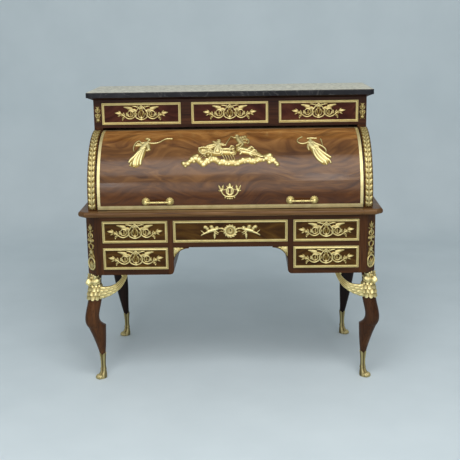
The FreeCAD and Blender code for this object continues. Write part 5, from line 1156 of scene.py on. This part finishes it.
def wing_curl(way, aside):
    """A small scroll at the wing's tip: a tapering circle carried along a spiral in the wing's own plane."""
    flat = smooth_path(coil(121, 485, 10, 1.05, 10, 1), 5)
    path = FRONT_LEG + flat[:, :1] * way + WING_OUT * aside + flat[:, 1:] * UP
    return tube(path, np.linspace(4.2, 2.0, len(path)), aside)


WING_WAYS = (LEFTWARD, -BACKWARD), (BACKWARD, -LEFTWARD)
LION_RIGHT = joined(lion_head(), lion_breast(), *(make(*ways) for make in (lion_wing, wing_curl) for ways in WING_WAYS))
add_piece("winged_lion_right", LION_RIGHT, "desk", gilt_figures, "lion_right", 60)
add_piece("winged_lion_left", mirrored(LION_RIGHT), "desk", gilt_figures, "lion_left", 60)

# %% [markdown]
# ## Paws
#
# Every leg ends in a gilt sock and paw. The sock's top is cut in points, so its first ring rises and falls round the
# ankle; a crease rings the wrist; and four toes curl down to their claws, each a tapering circle on a short path.

# %% Paws
PAW_STATIONS = np.array([(110, 0, 14.2, 14.2), (97, 0, 13.3, 13.3), (76, 0, 11.6, 11.6), (56, 0, 11.5, 11.5),
                         (46, 0, 12.8, 12.8), (41, 0.2, 14.6, 14.0), (37, 0.5, 12.9, 12.6), (28, 1.8, 15.2, 14.2),
                         (17, 5, 19.6, 16.4), (9, 8, 22.4, 17.8), (3, 9, 23.4, 18.2), (0.2, 9, 22.8, 17.6)])
SOLE, INSIDE_SOCK, TOE_GAP, TOE_LIFT = 0.2, 9.0, 8.0, 0.95
FRONT_ANKLE, REAR_ANKLE = FRONT_LEG - 11 * AHEAD, np.array([550.0, 308.0, 0.0])


def paw(ankle, ahead):
    """Rings of ovals from sock to sole, with tendons down the front, and four toes."""
    aside = np.cross(UP, ahead)
    rows = np.concatenate([[0.0], np.linspace(0, len(PAW_STATIONS) - 1, 78)])[:, None]
    height, forward, long_way, wide_way = (np.interp(rows, np.arange(len(PAW_STATIONS)), column)
                                           for column in PAW_STATIONS.T)
    turn = turns(96)[None, :]
    points_up = np.clip(1 - rows, 0, 1) * 9 * np.abs(np.cos(2 * turn))
    tendon = 0.7 * np.cos(5 * turn) * (np.cos(turn) > 0) * np.clip((rows - 0.5) / 2, 0, 1)
    long_way = long_way + tendon + 0.25 * points_up
    wide_way = wide_way + tendon + 0.25 * points_up
    long_way[0], wide_way[0] = INSIDE_SOCK, INSIDE_SOCK
    points = (ankle + (forward + long_way * np.cos(turn))[..., None] * ahead
              + (wide_way * np.sin(turn))[..., None] * aside + (height + points_up)[..., None] * UP)
    parts = [surface(points, lift=np.clip(0.5 + 0.4 * np.cos(5 * turn) * np.ones_like(rows), 0, 1))]
    for number in (-1.5, -0.5, 0.5, 1.5):
        spread, back = number * TOE_GAP, 1.6 * abs(number) ** 1.5
        way = [(12 - back, 0.62 * spread, 15), (23 - back, 0.9 * spread, 13.5), (31 - back, spread, 8.5),
               (35.5 - back, spread, 3.0), (36.5 - back, spread, 1.0)]
        path = smooth_path([ankle + a * ahead + s * aside + h * UP for a, s, h in way], 6)
        radii = np.interp(np.linspace(0, 1, len(path)), [0, 0.3, 0.55, 0.75, 0.9, 1], [4.6, 6.3, 5.9, 3.4, 1.8, 0.5])
        toe, faces, _ = tube(path, radii, aside)
        toe[:, 2] = np.maximum(toe[:, 2], SOLE)
        parts.append((toe, faces, np.full(len(toe), TOE_LIFT)))
    return joined(*parts)


add_pair("front_paw_pair", paw(FRONT_ANKLE, AHEAD), gilt_paws, "front_paws", 60)
add_pair("rear_paw_pair", paw(REAR_ANKLE, AHEAD), gilt_paws, "rear_paws", 60)

# %% [markdown]
# ## Studio
#
# A pale sheet that curves up behind the desk gives a plain floor and backdrop in one. The light is soft: a pale sky, a
# wide lamp above and another low in front, and two narrow ones for the sheen that windows leave on polished wood.

# %% Studio
BEND, FLOOR_BACK, FLOOR_FRONT, WALL_TOP, HALF_SHEET = 900, 2200, -9000, 6000, 7000.0
bpy.context.scene.view_settings.view_transform = "Standard"


def backdrop():
    """A profile of floor, quarter circle and wall, carried sideways."""
    bend = np.linspace(0, math.pi / 2, 16)
    profile = np.vstack([[(FLOOR_FRONT, 0)],
                         np.stack([FLOOR_BACK + BEND * np.sin(bend), BEND - BEND * np.cos(bend)], axis=-1),
                         [(FLOOR_BACK + BEND, WALL_TOP)]])
    points = np.stack([np.broadcast_to([-HALF_SHEET, HALF_SHEET], (len(profile), 2)),
                       *np.repeat(profile.T[..., None], 2, axis=2)], axis=-1)
    mesh = bpy.data.meshes.new("backdrop")
    faces = cells(*points.shape[:2]).reshape(-1, 4)[:, ::-1]
    mesh.from_pydata((points.reshape(-1, 3) * MM).tolist(), [], faces.tolist())
    mesh.polygons.foreach_set("use_smooth", np.ones(len(mesh.polygons), bool))
    paper = Finish("pale_paper")
    mottle = paper.noise(paper.place, EVEN, 3, 3)
    paper.set("Base Color", paper.shades(mottle, (0.3, (0.60, 0.68, 0.71)), (0.7, (0.64, 0.72, 0.75))))
    paper.set("Roughness", 0.9)
    mesh.materials.append(paper.material)
    sheet = bpy.data.objects.new("backdrop", mesh)
    bpy.context.scene.collection.objects.link(sheet)
    sheet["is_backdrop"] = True


def soft_lamp(name, place, target, width, height, watts):
    """A flat lamp at a place, turned so that it looks at a target."""
    lamp = bpy.data.lights.new(name, "AREA")
    lamp.shape = "RECTANGLE"
    lamp.size, lamp.size_y, lamp.energy = width, height, watts
    thing = bpy.data.objects.new(name, lamp)
    thing.location = place
    thing.rotation_euler = (Vector(target) - Vector(place)).to_track_quat("-Z", "Y").to_euler()
    bpy.context.scene.collection.objects.link(thing)


backdrop()
world = bpy.data.worlds.new("pale_sky")
bpy.context.scene.world = world
world.use_nodes = True
sky = world.node_tree.nodes["Background"]
sky.inputs["Color"].default_value = (0.93, 0.97, 1.0, 1)
sky.inputs["Strength"].default_value = 0.42
soft_lamp("overhead", (0.2, -2.4, 3.6), (0, 0, 0.7), 3.0, 2.0, 85)
soft_lamp("window_right", (0.75, -3.85, 2.71), (0.4, -0.3, 0.9), 0.42, 1.1, 16)
soft_lamp("window_left", (-1.12, -4.1, 2.0), (-0.5, -0.3, 0.9), 0.22, 0.6, 5)
soft_lamp("low_front", (-0.4, -4.6, 1.6), (0, 0, 0.7), 4.0, 1.2, 34)
print("backdrop, sky and four lamps")

# %% [markdown]
# ## The size of the dressed desk
#
# The box round every piece that renders, leaving out the backdrop, is printed in metres. The
# dressed desk must not outgrow the CAD box.

# %% The size of the dressed desk
low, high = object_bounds()
print("visual box", [round(v, 4) for v in low], [round(v, 4) for v in high])
